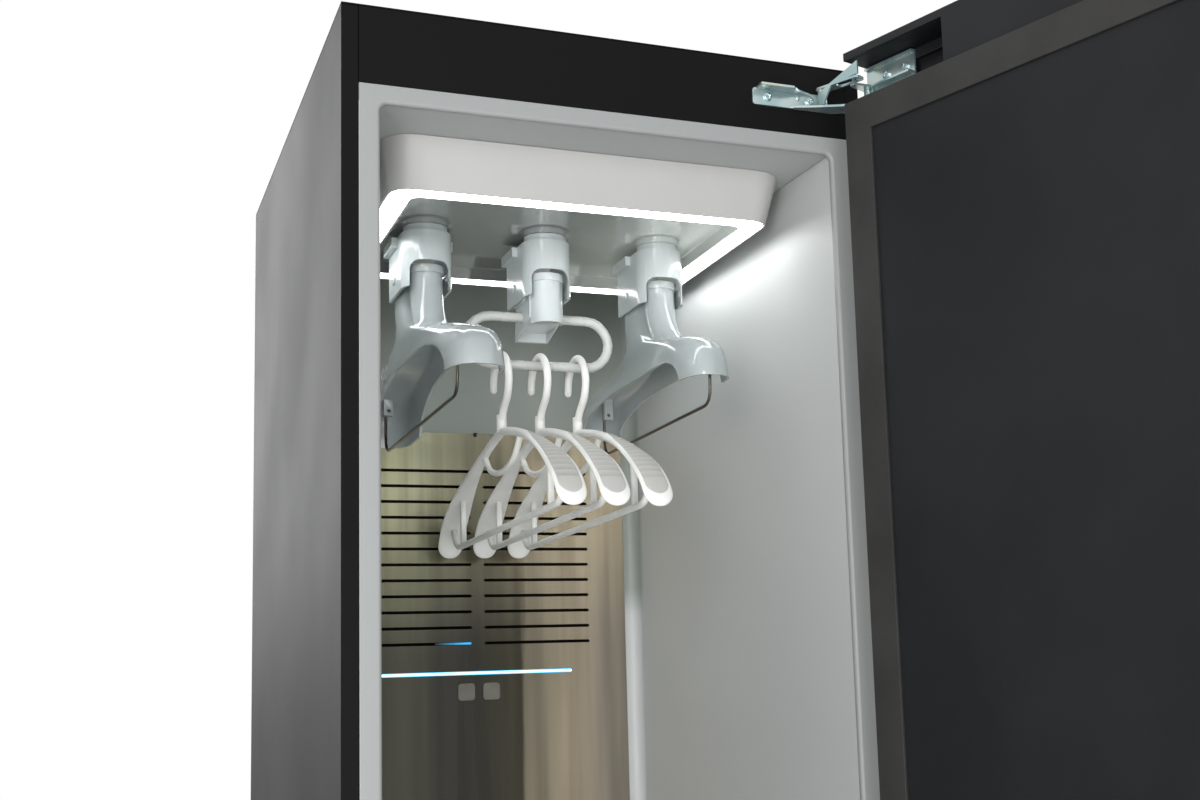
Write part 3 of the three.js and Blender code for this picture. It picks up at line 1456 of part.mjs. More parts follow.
function tankBay() {
  const front = bayFront;
  const rear = front + bayDepth;
  const low = footHeight + baseHeight + touchGap;
  const inner = tankSpan / 2;
  const outer = inner + bayWall;
  const lip = front + bayWall;
  const walls = extrudeZ(polygon([
    [-bayHalf, front], [-inner, front], [-inner, rear - bayWall],
    [-bayWall / 2, rear - bayWall], [-bayWall / 2, front], [bayWall / 2, front],
    [bayWall / 2, rear - bayWall], [inner, rear - bayWall], [inner, front],
    [bayHalf, front], [bayHalf, lip], [outer, lip], [outer, rear], [-outer, rear],
    [-outer, lip], [-bayHalf, lip],
  ]), low, bayHigh);
  const fasciaEnd = halfWidth - stileWidth - touchGap;
  const fasciaTop = cabinFloorHeight - sillHeight - touchGap * 2;
  const face = extrudeY(polygon([
    [-fasciaEnd, bayLow], [-inner, bayLow], [-inner, bayHigh], [inner, bayHigh], [inner, bayLow],
    [fasciaEnd, bayLow], [fasciaEnd, fasciaTop], [-fasciaEnd, fasciaTop],
  ]), frontY + touchGap, lip);
  return join(walls, face, block(-outer, outer, front, rear, bayLow - touchGap - bayWall, bayLow));
}

function waterTank(side) {
  const inner = bayWall / 2 + tankGap;
  const outer = tankSpan / 2 - tankGap;
  const x0 = side > 0 ? inner : -outer;
  const x1 = side > 0 ? outer : -inner;
  const front = frontY + touchGap * 2;
  const rear = bayFront + bayDepth - bayWall - tankGap;
  const low = bayLow + touchGap;
  const high = bayHigh - tankGap;
  const outline = roundedRectangle(x0, x1, front + tankFrontThickness, rear, tankRadius);
  const shell = extrudeZ(outline, low, high, 2);
  const hollow = extrudeZ(roundedRectangle(x0 + tankWall, x1 - tankWall,
    front + tankFrontThickness + tankGripDepth + tankWall, rear - tankWall, tankRadius - tankWall),
  low + tankWall, high - tankWall, 2);
  const middle = (x0 + x1) / 2;
  const filler = rodZ(middle, rear - tankFillerRadius * 2, tankFillerRadius, high - tankWall - cutOverrun,
    high + cutOverrun, 6);
  const plate = extrudeY(roundedRectangle(x0, x1, low, high, tankRadius / 2),
    front, front + tankFrontThickness * 3, 2);
  const gripZ = high - tankGripDrop;
  const grip = extrudeY(roundedRectangle(middle - tankGripWidth / 2, middle + tankGripWidth / 2,
    gripZ - tankGripHeight, gripZ, tankGripHeight / 3), front - cutOverrun, front + tankGripDepth, 2);
  return cut(join(shell, plate), hollow, filler, grip);
}

place('tank_bay', tankBay(), blackPlastic);
place('fresh_water_tank', waterTank(-1), tankGrey);
place('drain_tank', waterTank(1), tankGrey);

// Lint filter cassette and air grille in the cabin floor
function lintFilter() {
  const half = filterWidth / 2;
  const front = depth(filterSetback);
  const rear = front + filterLength;
  const high = cabinFloorHeight;
  const low = high - filterHeight;
  const lipReach = filterWall * 2;
  const body = block(-half, half, front, rear, low, high);
  const lip = block(-half - lipReach, half + lipReach, front - lipReach, rear + lipReach,
    high, high + filterWall);
  const hollow = block(-half + filterWall, half - filterWall, front + filterWall, rear - filterWall,
    low + filterWall, high + filterWall + cutOverrun);
  const pitch = (filterWidth - filterWall * 2) / filterRibs;
  const windows = [];
  for (let i = 0; i < filterRibs; i += 1) {
    const x = -half + filterWall + pitch * i;
    windows.push(block(x + filterRibWidth / 2, x + pitch - filterRibWidth / 2, front + filterWall * 2,
      rear - filterWall * 2, low - cutOverrun, low + filterWall + cutOverrun));
  }
  const middle = (front + rear) / 2;
  const bail = block(-filterGripHalfLength, filterGripHalfLength, middle - filterWall, middle + filterWall,
    low + filterWall / 2, high + filterGripHeight);
  const divider = block(-half + filterWall / 2, half - filterWall / 2, middle - filterWall / 2,
    middle + filterWall / 2, low + filterWall / 2, high);
  return join(cut(join(body, lip), hollow, ...windows), bail, divider);
}

function airGrille() {
  const half = grilleWidth / 2;
  const front = depth(grilleSetback);
  const rear = front + grilleLength;
  const low = cabinFloorHeight;
  const plate = block(-half, half, front, rear, low, low + grilleProud);
  const rim = block(-half + grilleThickness + touchGap, half - grilleThickness - touchGap,
    front + grilleThickness + touchGap, rear - grilleThickness - touchGap,
    low - grilleThickness, low + touchGap);
  const pitch = grilleLength / (grilleSlots + 1);
  const slots = [];
  for (let i = 1; i <= grilleSlots; i += 1) {
    const y = front + pitch * i;
    slots.push(block(-half + grilleThickness * 4, half - grilleThickness * 4, y - grilleSlotWidth / 2,
      y + grilleSlotWidth / 2, low - grilleThickness - cutOverrun, low + grilleProud + cutOverrun));
  }
  return cut(join(plate, rim), ...slots);
}

place('lint_filter', lintFilter(), blackPlastic);
place('air_grille', airGrille(), linerGrey);

// Machine compartment behind the tanks
const machineY = bayFront + bayDepth;
const machineLow = footHeight + baseHeight;
const rearSpace = backY - skinThickness - machineY;

function compressor() {
  const profile = [
    [0, 0], [compressorRadius * compressorFootShare, 0], [compressorRadius, compressorShoulder / 2],
    [compressorRadius, compressorHeight - compressorShoulder],
    [compressorRadius * compressorCrownShare, compressorHeight - compressorShoulder * compressorCapShare],
    [compressorRadius * compressorCapShare, compressorHeight], [0, compressorHeight],
  ];
  const lathe = new THREE.LatheGeometry(profile.map(([r, z]) => new THREE.Vector2(r, z)), 24);
  const x = -halfWidth / 2;
  const y = machineY + rearSpace / 2 + compressorRadius;
  return solid(lathe.rotateX(Math.PI / 2).translate(x, y, trayFloor));
}

const fanX = fanOffset;
const fanZ = machineLow + fanAxisRise;
const fanY0 = machineY + motorLength + touchGap * 4 + voluteWall * 2;

function fanWheel() {
  const y0 = fanY0;
  const y1 = y0 + fanWidth;
  const plate = rodY(fanX, fanZ, fanRadius, y0, y0 + fanPlate, 8);
  const hub = rodY(fanX, fanZ, fanHubRadius, y0, y0 + fanWidth / 2, 4);
  const rim = cut(rodY(fanX, fanZ, fanRadius, y1 - fanPlate, y1, 8),
    rodY(fanX, fanZ, fanRadius - fanBladeLength, y1 - fanPlate - cutOverrun, y1 + cutOverrun, 8));
  const blades = [];
  for (let i = 0; i < fanBlades; i += 1) {
    const turn = (i / fanBlades) * Math.PI * 2;
    const inner = fanRadius - fanBladeLength;
    const ux = Math.cos(turn);
    const uz = Math.sin(turn);
    const vx = Math.cos(turn + fanBladeLean);
    const vz = Math.sin(turn + fanBladeLean);
    const t = fanBladeThickness / 2;
    const from = [fanX + ux * (inner + t), fanZ + uz * (inner + t)];
    const to = [from[0] + vx * (fanBladeLength - t * 3), from[1] + vz * (fanBladeLength - t * 3)];
    const nx = -vz * t;
    const nz = vx * t;
    const outline = polygon([
      [from[0] + nx, from[1] + nz], [to[0] + nx, to[1] + nz],
      [to[0] - nx, to[1] - nz], [from[0] - nx, from[1] - nz],
    ]);
    blades.push(extrudeY(outline, y0 + fanPlate / 2, y1 - fanPlate / 2));
  }
  const bore = rodY(fanX, fanZ, fanShaftRadius + fanShaftClearance, y0 - cutOverrun, y1 + cutOverrun, 6);
  return cut(join(plate, hub, rim, ...blades), bore);
}

function voluteOutline(grow) {
  const shape = new THREE.Shape();
  const start = fanRadius + voluteClearance + grow;
  for (let i = 0; i <= voluteSteps; i += 1) {
    const turn = (i / voluteSteps) * Math.PI * 2 * voluteTurnShare;
    const radius = start + voluteGrowth * (i / voluteSteps);
    const x = fanX + radius * Math.cos(turn);
    const z = fanZ + radius * Math.sin(turn);
    if (i === 0) shape.moveTo(x, z);
    else shape.lineTo(x, z);
  }
  return shape;
}

function fanHousing() {
  const y0 = fanY0 - voluteWall - voluteClearance / 2;
  const y1 = fanY0 + fanWidth + voluteClearance / 2 + voluteWall;
  const outer = extrudeY(voluteOutline(voluteWall), y0, y1);
  const inner = extrudeY(voluteOutline(0), y0 + voluteWall, y1 - voluteWall);
  const inlet = rodY(fanX, fanZ, voluteInlet, y1 - voluteWall - cutOverrun, y1 + cutOverrun, 6);
  const shaft = rodY(fanX, fanZ, fanShaftRadius + touchGap * 2, y0 - cutOverrun,
    y0 + voluteWall + cutOverrun, 6);
  const foot = block(fanX - fanRadius / 2, fanX + fanRadius / 2, y0, y1, trayFloor,
    fanZ - fanRadius - voluteClearance - voluteGrowth * voluteFootShare);
  return cut(join(outer, foot), inner, inlet, shaft);
}

function fanMotor() {
  const y1 = fanY0 - voluteWall - voluteClearance / 2 - touchGap;
  const y0 = y1 - motorLength;
  const can = rodY(fanX, fanZ, motorRadius, y0, y1, 6);
  const shaft = rodY(fanX, fanZ, fanShaftRadius, y1 - touchGap, fanY0 + fanWidth / 2, 6);
  return join(can, shaft);
}

function steamGenerator() {
  const z = trayFloor + boilerAxisRise;
  const y = backY - boilerRearInset;
  const profile = [
    [0, 0], [boilerRadius * boilerEndShare, 0], [boilerRadius, boilerShoulder],
    [boilerRadius, boilerLength - boilerShoulder], [boilerRadius * boilerEndShare, boilerLength],
    [0, boilerLength],
  ];
  const lathe = new THREE.LatheGeometry(profile.map(([r, l]) => new THREE.Vector2(r, l)), 20);
  const x0 = boilerRadius;
  const reach = boilerRadius * boilerSaddleShare;
  const saddle = (x) => block(x, x + boilerShoulder, y - reach, y + reach, trayFloor, z);
  return join(solid(lathe.rotateZ(-Math.PI / 2).translate(x0, y, z)),
    saddle(x0 + boilerShoulder * 2), saddle(x0 + boilerLength - boilerShoulder * 3));
}

function heatExchanger() {
  const x0 = -halfWidth + boilerRadius;
  const z0 = trayFloor;
  const y0 = machineY + touchGap;
  const pitch = exchangerWidth / exchangerFins;
  const outline = [[x0, y0], [x0 + exchangerWidth, y0]];
  for (let i = exchangerFins - 1; i >= 0; i -= 1) {
    const right = x0 + pitch * (i + 1);
    const left = right - exchangerFin;
    const root = y0 + exchangerSpine;
    const tip = y0 + exchangerDepth;
    if (i < exchangerFins - 1) outline.push([right, root]);
    outline.push([right, tip], [left, tip], [left, root]);
  }
  outline.push([x0, y0 + exchangerSpine]);
  return extrudeZ(polygon(outline), z0, z0 + exchangerHeight);
}

place('compressor', compressor(), castGrey);
place('fan_wheel', fanWheel(), blackPlastic);
place('fan_housing', fanHousing(), blackPlastic);
place('fan_motor', fanMotor(), castGrey);
place('steam_generator', steamGenerator(), castGrey);
place('heat_exchanger', heatExchanger(), finAluminium);

export default cabinet;
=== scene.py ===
# %% [markdown]
# # A clothes care steam cabinet
#
# The cabinet stands with its door open. Hollow air hangers, a loop rail and three loose hangers
# hang under a lit ceiling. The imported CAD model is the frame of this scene: it is loaded first,
# it is never moved, and every extra piece is placed from its sizes.

# %% Load the frame
import json
import math

import bmesh
import bpy
from mathutils import Euler, Matrix, Vector


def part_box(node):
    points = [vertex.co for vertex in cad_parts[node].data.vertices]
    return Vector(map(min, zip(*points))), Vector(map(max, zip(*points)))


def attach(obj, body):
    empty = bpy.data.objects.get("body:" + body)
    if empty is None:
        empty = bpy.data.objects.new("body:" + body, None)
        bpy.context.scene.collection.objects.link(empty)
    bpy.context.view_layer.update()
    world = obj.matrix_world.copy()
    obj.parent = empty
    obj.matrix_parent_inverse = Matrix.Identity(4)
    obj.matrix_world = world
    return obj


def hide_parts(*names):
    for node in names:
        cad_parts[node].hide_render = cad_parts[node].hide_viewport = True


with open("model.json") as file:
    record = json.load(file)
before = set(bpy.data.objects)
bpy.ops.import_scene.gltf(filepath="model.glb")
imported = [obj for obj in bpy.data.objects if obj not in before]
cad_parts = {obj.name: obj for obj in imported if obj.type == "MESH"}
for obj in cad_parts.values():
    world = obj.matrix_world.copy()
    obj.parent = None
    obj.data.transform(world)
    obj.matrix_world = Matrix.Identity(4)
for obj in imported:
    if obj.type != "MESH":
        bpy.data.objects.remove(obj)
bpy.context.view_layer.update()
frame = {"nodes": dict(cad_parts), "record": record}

nodes = frame["nodes"]
body_height = 1.850
body_front = -0.28
touch_gap = 0.0003
print("pieces in the frame:", len(nodes))

# %% [markdown]
# ## Camera
#
# The picture was taken from the left and from below the hangers, looking slightly up. The place
# and the angles come from the lines of the front and of the side walls, which meet in vanishing
# points. A real lens shift keeps the frame of the picture, because the cabinet isn't in its middle.

# %% Camera
camera_place = Vector((-0.4121, -1.4547, 1.3052))
camera_yaw = 24.349
camera_pitch = 8.954
camera_roll = -2.391
camera_lens = 47.62
camera_sensor = 36
camera_shift = (-0.1383, 0.0429)


def add_object(name, data):
    """A new object in the scene that shows the data."""
    thing = bpy.data.objects.new(name, data)
    bpy.context.scene.collection.objects.link(thing)
    return thing


def add_camera():
    data = bpy.data.cameras.new("camera")
    data.lens = camera_lens
    data.sensor_width = camera_sensor
    data.shift_x, data.shift_y = camera_shift
    data.clip_start = 0.01
    camera = add_object("camera", data)
    aim = Euler((math.radians(90 + camera_pitch), 0, -math.radians(camera_yaw))).to_matrix()
    roll = Matrix.Rotation(math.radians(camera_roll), 3, "Z")
    camera.matrix_world = Matrix.Translation(camera_place) @ (aim @ roll).to_4x4()
    bpy.context.scene.camera = camera


add_camera()
print("camera", tuple(round(v, 3) for v in camera_place))

# %% [markdown]
# ## Building blocks for finishes
#
# Each finish is a Principled shader with a little life in it: the colour drifts slightly, the
# roughness varies as it does where hands and cloths have been, and a fine bump gives the grain.
# All patterns use object coordinates, so they keep their real size in metres. The same small
# functions also build the nodes of the floor and the world.

# %% Node helpers
noise_low, noise_high = 0.3, 0.7
patch_low, patch_high = 0.35, 0.65
rough_ratio = 2.3


def set_inputs(owner, node, inputs):
    """Gives each input of a node a constant, or links it to another node's output."""
    for key, value in inputs.items():
        if isinstance(value, bpy.types.NodeSocket):
            owner.node_tree.links.new(value, node.inputs[key])
        else:
            node.inputs[key].default_value = value


def add_node(owner, kind, inputs):
    """A new shader node of a material or of the world."""
    node = owner.node_tree.nodes.new("ShaderNode" + kind)
    set_inputs(owner, node, inputs)
    return node


def math_node(owner, operation, first, second=0):
    node = add_node(owner, "Math", {0: first, 1: second})
    node.operation = operation
    return node.outputs["Value"]


def ramp_over(owner, value, low, high, result_low=0.0, result_high=1.0):
    """A smooth step of the value from low to high."""
    node = add_node(owner, "MapRange", {
        "Value": value, "From Min": low, "From Max": high,
        "To Min": result_low, "To Max": result_high})
    node.interpolation_type = "SMOOTHSTEP"
    return node.outputs["Result"]


def place_vector(material, stretch=(1, 1, 1)):
    """Object coordinates in metres, stretched along each axis."""
    source = add_node(material, "TexCoord", {})
    mapping = add_node(material, "Mapping", {"Vector": source.outputs["Object"], "Scale": stretch})
    return mapping.outputs["Vector"]


def place_parts(material):
    """Object coordinates in metres, as separate outputs X, Y and Z."""
    return add_node(material, "SeparateXYZ", {"Vector": place_vector(material)}).outputs


def noise(material, scale, detail=3.0, roughness=0.55, stretch=(1, 1, 1)):
    """A soft random pattern, mostly between noise_low and noise_high."""
    texture = add_node(material, "TexNoise", {
        "Vector": place_vector(material, stretch), "Scale": scale, "Detail": detail,
        "Roughness": roughness})
    return texture.outputs["Fac"]


def far_from(material, value, centre):
    """How far the value is from a centre, on either side."""
    return math_node(material, "ABSOLUTE", math_node(material, "SUBTRACT", value, centre))


def wobble(material, value, pattern, amount):
    """The value, pushed to and fro by a noise pattern."""
    push = math_node(material, "MULTIPLY", math_node(material, "SUBTRACT", pattern, 0.5), amount)
    return math_node(material, "ADD", value, push)


# %% Finish helpers
def rgb(code):
    """The linear colour of a six-digit sRGB code."""
    values = [int(code[i:i + 2], 16) / 255 for i in (0, 2, 4)]
    return tuple(v / 12.92 if v <= 0.04045 else ((v + 0.055) / 1.055) ** 2.4 for v in values) + (1,)


def shader_of(material):
    return material.node_tree.nodes["Principled BSDF"]


def new_finish(name, **settings):
    """A new material; each setting is an input of its shader, such as specular_ior_level."""
    material = bpy.data.materials.new(name)
    material.use_nodes = True
    for key, value in settings.items():
        title = key.replace("_", " ").title().replace("Ior", "IOR")
        shader_of(material).inputs[title].default_value = value
    return material


def feed(material, value, *keys):
    """Links a value to inputs of the material's shader."""
    set_inputs(material, shader_of(material), {key: value for key in keys})


def mix_colours(material, factor, first, second, blend="MIX"):
    """Mixes two colours, each of them a colour code or another node's output."""
    node = add_node(material, "Mix", {})
    node.data_type = "RGBA"
    node.blend_type = blend
    first, second = (rgb(v) if isinstance(v, str) else v for v in (first, second))
    set_inputs(material, node, {0: factor, 6: first, 7: second})
    return node.outputs[2]


def colour_ramp(material, value, stops):
    """A colour for each value; stops are (place, colour code) pairs."""
    ramp = add_node(material, "ValToRGB", {"Fac": value})
    elements = ramp.color_ramp.elements
    while len(elements) < len(stops):
        elements.new(0.5)
    for element, (place, code) in zip(elements, stops):
        element.position = place
        element.color = rgb(code)
    return ramp.outputs["Color"]


def roughness_between(material, value, low, high):
    span = add_node(material, "MapRange", {
        "Value": value, "From Min": noise_low, "From Max": noise_high,
        "To Min": low, "To Max": high})
    feed(material, span.outputs["Result"], "Roughness")


def bump(material, value, strength, distance):
    node = add_node(material, "Bump", {"Height": value, "Strength": strength, "Distance": distance})
    feed(material, node.outputs["Normal"], "Normal")


def worn(material, rough, shades, patches):
    """Slow drift of colour and roughness over a surface, each between two values."""
    stops = [(patch_low, shades[0]), (patch_high, shades[1])]
    feed(material, colour_ramp(material, noise(material, patches), stops), "Base Color")
    roughness_between(material, noise(material, patches * rough_ratio), *rough)


def plain_finish(name, rough, shades, patches, grain, **settings):
    """A worn finish with a fine grain, given as its scale, detail, strength and depth."""
    material = new_finish(name, **settings)
    worn(material, rough, shades, patches)
    scale, detail, strength, depth = grain
    bump(material, noise(material, scale, detail), strength, depth)
    return material


def give_light(material, colour, strength):
    """Shows a colour and gives it off as light."""
    feed(material, colour, "Base Color", "Emission Color")
    shader_of(material).inputs["Emission Strength"].default_value = strength


print("finish helpers ready")

# %% [markdown]
# ## Floor, backdrop and lamps
#
# A plain pale floor and soft lamps show the finishes as they are. The backdrop is white only to
# the camera, in reflections and through clear pieces: what lights the object is a softer grey world
# and five large lamps. The floor keeps the shadow near the object and fades to the same white.

# %% Floor and world
white = (1, 1, 1, 1)
floor_colour = (0.86, 0.86, 0.86, 1)
floor_size = 14.0
floor_drop = 0.0005
floor_fade_start = 1.0
floor_fade_end = 3.4
world_colour = (0.95, 0.97, 1.0, 1)
world_strength = 0.5


def seen_directly(owner):
    """1 for rays from the camera, in reflections and through clear pieces, 0 for the rest."""
    rays = add_node(owner, "LightPath", {}).outputs
    total = rays["Is Camera Ray"]
    for name in ("Is Glossy Ray", "Is Transmission Ray"):
        total = math_node(owner, "MAXIMUM", total, rays[name])
    return total


def fade_to_white(material):
    """Mixes a material into plain white away from the middle, where it is seen directly."""
    away = add_node(material, "VectorMath", {0: place_vector(material)})
    away.operation = "LENGTH"
    fade = ramp_over(material, away.outputs["Value"], floor_fade_start, floor_fade_end)
    share = math_node(material, "MULTIPLY", fade, seen_directly(material))
    glow = add_node(material, "Emission", {"Color": white, "Strength": 1.0})
    mix = add_node(material, "MixShader", {
        "Fac": share, 1: shader_of(material).outputs["BSDF"], 2: glow.outputs["Emission"]})
    output = material.node_tree.nodes["Material Output"]
    set_inputs(material, output, {"Surface": mix.outputs["Shader"]})


def add_floor():
    mesh = bpy.data.meshes.new("floor")
    reach = floor_size / 2
    corners = [(-reach, -reach, 0), (reach, -reach, 0), (reach, reach, 0), (-reach, reach, 0)]
    mesh.from_pydata(corners, [], [(0, 1, 2, 3)])
    floor = add_object("floor", mesh)
    floor.location.z = -floor_drop
    material = new_finish("floor_pale", base_color=floor_colour, roughness=0.6)
    fade_to_white(material)
    mesh.materials.append(material)


def add_world():
    world = bpy.data.worlds.new("studio")
    bpy.context.scene.world = world
    world.use_nodes = True
    world.node_tree.nodes.clear()
    soft = add_node(world, "Background", {"Color": world_colour, "Strength": world_strength})
    plain = add_node(world, "Background", {"Color": white, "Strength": 1.0})
    mix = add_node(world, "MixShader", {
        "Fac": seen_directly(world), 1: soft.outputs["Background"], 2: plain.outputs["Background"]})
    add_node(world, "OutputWorld", {"Surface": mix.outputs["Shader"]})


add_floor()
add_world()

# %% Lamps
lamp_list = [
    # name, place, aim, width, height, power
    ("key", (-1.75, -3.1, 1.5), (0, -0.2, 1.5), 1.0, 1.8, 60),
    ("front", (-0.3, -3.2, 1.4), (0, -0.1, 1.4), 1.2, 1.6, 19),
    ("low", (0.3, -1.9, 0.15), (0, -0.1, 1.5), 1.2, 0.8, 10),
    ("side", (3.0, 0.3, 2.4), (0.1, 0, 1.0), 1.4, 1.8, 26),
    ("back", (-1.2, 3.0, 2.4), (0, 0.2, 1.0), 1.8, 1.8, 40),
]


def add_lamp(name, place, aim, width, height, power):
    data = bpy.data.lights.new(name, "AREA")
    data.shape = "RECTANGLE"
    data.size = width
    data.size_y = height
    data.energy = power
    lamp = add_object(name, data)
    lamp.location = place
    direction = Vector(aim) - Vector(place)
    lamp.rotation_euler = direction.to_track_quat("-Z", "Y").to_euler()


for entry in lamp_list:
    add_lamp(*entry)
bpy.context.scene.view_settings.view_transform = "Standard"
print("lamps", len(lamp_list))

# %% [markdown]
# ## Finishes of the shell
#
# The outer sheets are powder coated in satin black: very dark, with a fine orange peel that
# breaks up the highlights. Inner black mouldings have a dry, fine grain instead.


# %% Shell finishes
def black_coat():
    return plain_finish("black_coat", rough=(0.54, 0.6), shades=("0a0a0b", "0d0d0e"), patches=2.0,
                        grain=(900, 2.0, 0.12, 0.0004), specular_ior_level=0.1)


def black_moulding():
    return plain_finish("black_moulding", rough=(0.5, 0.6), shades=("18191a", "1e1f21"),
                        patches=6.0, grain=(1500, 2.0, 0.25, 0.0003), specular_ior_level=0.2)


def door_gloss():
    return plain_finish("door_gloss", rough=(0.26, 0.34), shades=("0d0d0f", "131316"), patches=2.0,
                        grain=(9, 1.0, 0.02, 0.0006), specular_ior_level=0.22)


def gasket_rubber():
    return plain_finish("gasket_rubber", rough=(0.55, 0.7), shades=("2b2a29", "343332"),
                        patches=12.0, grain=(1100, 2.0, 0.2, 0.0003), specular_ior_level=0.3)


print("shell finishes ready")

# %% [markdown]
# ## Finishes of the cabin
#
# The liner is a pale grey moulding with a soft gloss. Its ceiling is set a little darker, its front
# frame is a darker copy as painted shade, and the upper back wall carries a painted shade. The lamp
# housing is a warmer, glossier grey, and the recessed panel inside the lamp is so glossy that the
# docks mirror in it; its paler right side is painted light. The docks and the hollow hangers share
# one glossy plastic: a paler copy on the docks is painted light, darker copies on the hangers are
# painted shade.

# %% Cabin finishes
bar_low, bar_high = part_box("light_bar")
bar_middle = (bar_low.z + bar_high.z) / 2
seam_place = -0.275
seam_top = 1.7625
seam_half, seam_edge = 0.0002, 0.0005
side_wall = 0.185
# Depths and heights over which the upper back wall is given a painted shade.
back_shade_depth = (0.196, 0.211)
back_shade_foot = (1.4, 1.44)


def liner_seam(material):
    """1 along the fine joint where the front frame of the liner meets its side walls."""
    place = place_parts(material)
    off = far_from(material, place["Y"], seam_place)
    line = ramp_over(material, off, seam_half, seam_edge, 1.0, 0.0)
    side = ramp_over(material, far_from(material, place["X"], 0), side_wall, side_wall + 0.001)
    below = ramp_over(material, place["Z"], seam_top - 0.001, seam_top, 1.0, 0.0)
    return math_node(material, "MULTIPLY", math_node(material, "MULTIPLY", line, side), below)


def liner_plastic(name, low, high, back):
    """Pale liner plastic; the colour back is a painted shade on the upper back wall of the cabin."""
    material = new_finish(name, specular_ior_level=0.45)
    drift = mix_colours(material, noise(material, 2.5), low, high)
    place = place_parts(material)
    # Painted shade on the upper back wall, in the colour back.
    behind = math_node(material, "MULTIPLY", ramp_over(material, place["Y"], *back_shade_depth),
                       ramp_over(material, place["Z"], *back_shade_foot))
    seam = liner_seam(material)
    colour = mix_colours(material, seam, mix_colours(material, behind, drift, back), "6f7272")
    feed(material, colour, "Base Color")
    roughness_between(material, noise(material, 5.7), 0.38, 0.46)
    bump(material, math_node(material, "SUBTRACT", noise(material, 700, 2.0), seam), 0.05, 0.0004)
    return material


def lamp_plastic():
    return plain_finish("lamp_plastic", rough=(0.28, 0.38), shades=("b0afad", "b8b7b5"),
                        patches=4.0, grain=(900, 2.0, 0.05, 0.0003), specular_ior_level=0.5)


def mirror_plastic():
    """The glossy panel inside the lamp, paler towards the right as painted light."""
    material = new_finish("mirror_plastic", metallic=0.5, specular_ior_level=0.9)
    across = wobble(material, place_parts(material)["X"], noise(material, 5), 0.06)
    # Painted light: the panel turns paler towards the right.
    share = ramp_over(material, across, -0.02, 0.13)
    feed(material, mix_colours(material, share, "a0a3a0", "e9ebe6"), "Base Color")
    roughness_between(material, noise(material, 30), 0.03, 0.07)
    bump(material, noise(material, 30, 1.0), 0.02, 0.0005)
    return material


def glossy_hanger(name, low, high):
    return plain_finish(name, rough=(0.12, 0.18), shades=(low, high), patches=9.0,
                        grain=(60, 2.0, 0.03, 0.0004), specular_ior_level=0.6)


def satin_rail():
    return plain_finish("satin_rail", rough=(0.22, 0.32), shades=("bfc1bd", "cbcdc9"),
                        patches=20.0, grain=(400, 2.0, 0.05, 0.0003), specular_ior_level=0.5)


def ring_glow():
    """The lit ring of the lamp, nearly white."""
    material = new_finish("ring_glow", roughness=0.4)
    give_light(material, mix_colours(material, noise(material, 14, 1.0), "f3f8ff", "fffdf8"), 8.9)
    bump(material, noise(material, 600, 1.0), 0.05, 0.0002)
    return material


def bar_glow():
    """Nearly white along its middle, cyan towards its upper and lower edge."""
    material = new_finish("bar_glow", roughness=0.4)
    away = far_from(material, place_parts(material)["Z"], bar_middle)
    uneven = math_node(material, "MULTIPLY", noise(material, 30, 2.0), 0.0004)
    edge = ramp_over(material, math_node(material, "ADD", away, uneven), 0.0006, 0.0017)
    give_light(material, mix_colours(material, edge, "e6fcff", "35b4e0"), 1.6)
    return material


print("cabin finishes ready")

# %% [markdown]
# ## Metals
#
# The slotted rear panel is stainless sheet brushed across its width. Stretched noise makes the
# brush lines. The warm olive zones that it mirrors from the room are two rows of colours across
# its width, one for its upper and one for its lower part, mixed over the height.

# %% Metals
panel_low, panel_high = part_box("rear_panel")
panel_half = panel_high.x
panel_fade_low = 1.36
panel_fade_high = 1.56
upper_stops = [
    (0.0, "9a9a78"), (0.1, "bcbd9a"), (0.2, "a5a584"), (0.32, "b4b496"), (0.44, "98957c"),
    (0.56, "8c8670"), (0.68, "b8ab91"), (0.85, "c9bb9f"), (1.0, "b8aa90"),
]
lower_stops = [
    (0.0, "3b3a28"), (0.08, "4d4c3a"), (0.18, "343329"), (0.3, "414034"), (0.42, "2f2e29"),
    (0.56, "363428"), (0.635, "434030"), (0.67, "857e6c"), (0.8, "9e917b"), (0.93, "8c8377"),
    (1.0, "797466"),
]


def brushed_sheet():
    material = new_finish("brushed_sheet", metallic=0.55, specular_ior_level=0.5)
    place = place_parts(material)
    across = wobble(material, place["X"], noise(material, 9, 4.0, 0.6, (7, 1, 0.3)), 0.05)
    share = math_node(material, "DIVIDE", math_node(material, "ADD", across, panel_half),
                      panel_half * 2)
    height = ramp_over(material, place["Z"], panel_fade_low, panel_fade_high)
    zones = mix_colours(material, height, colour_ramp(material, share, lower_stops),
                        colour_ramp(material, share, upper_stops))
    streaks = noise(material, 13, 2.0, 0.5, (5, 1, 0.2))
    tint = mix_colours(material, ramp_over(material, streaks, noise_low, noise_high),
                       "dcdcdc", "ffffff")
    feed(material, mix_colours(material, 1.0, zones, tint, "MULTIPLY"), "Base Color")
    lines = noise(material, 60, 4.0, 0.6, (1.2, 1, 70))
    roughness_between(material, lines, 0.16, 0.24)
    bump(material, lines, 0.03, 0.0002)
    return material


def zinc_plate():
    """Plated steel with patches between bluish and yellowish."""
    material = new_finish("zinc_plate", metallic=0.7, specular_ior_level=0.7)
    patches = noise(material, 45, 2.0)
    stops = [(0.35, "9db4b6"), (0.52, "b4c6c6"), (0.68, "c5ccb9")]
    feed(material, colour_ramp(material, patches, stops), "Base Color")
    roughness_between(material, patches, 0.14, 0.24)
    bump(material, noise(material, 900), 0.05, 0.0002)
    return material


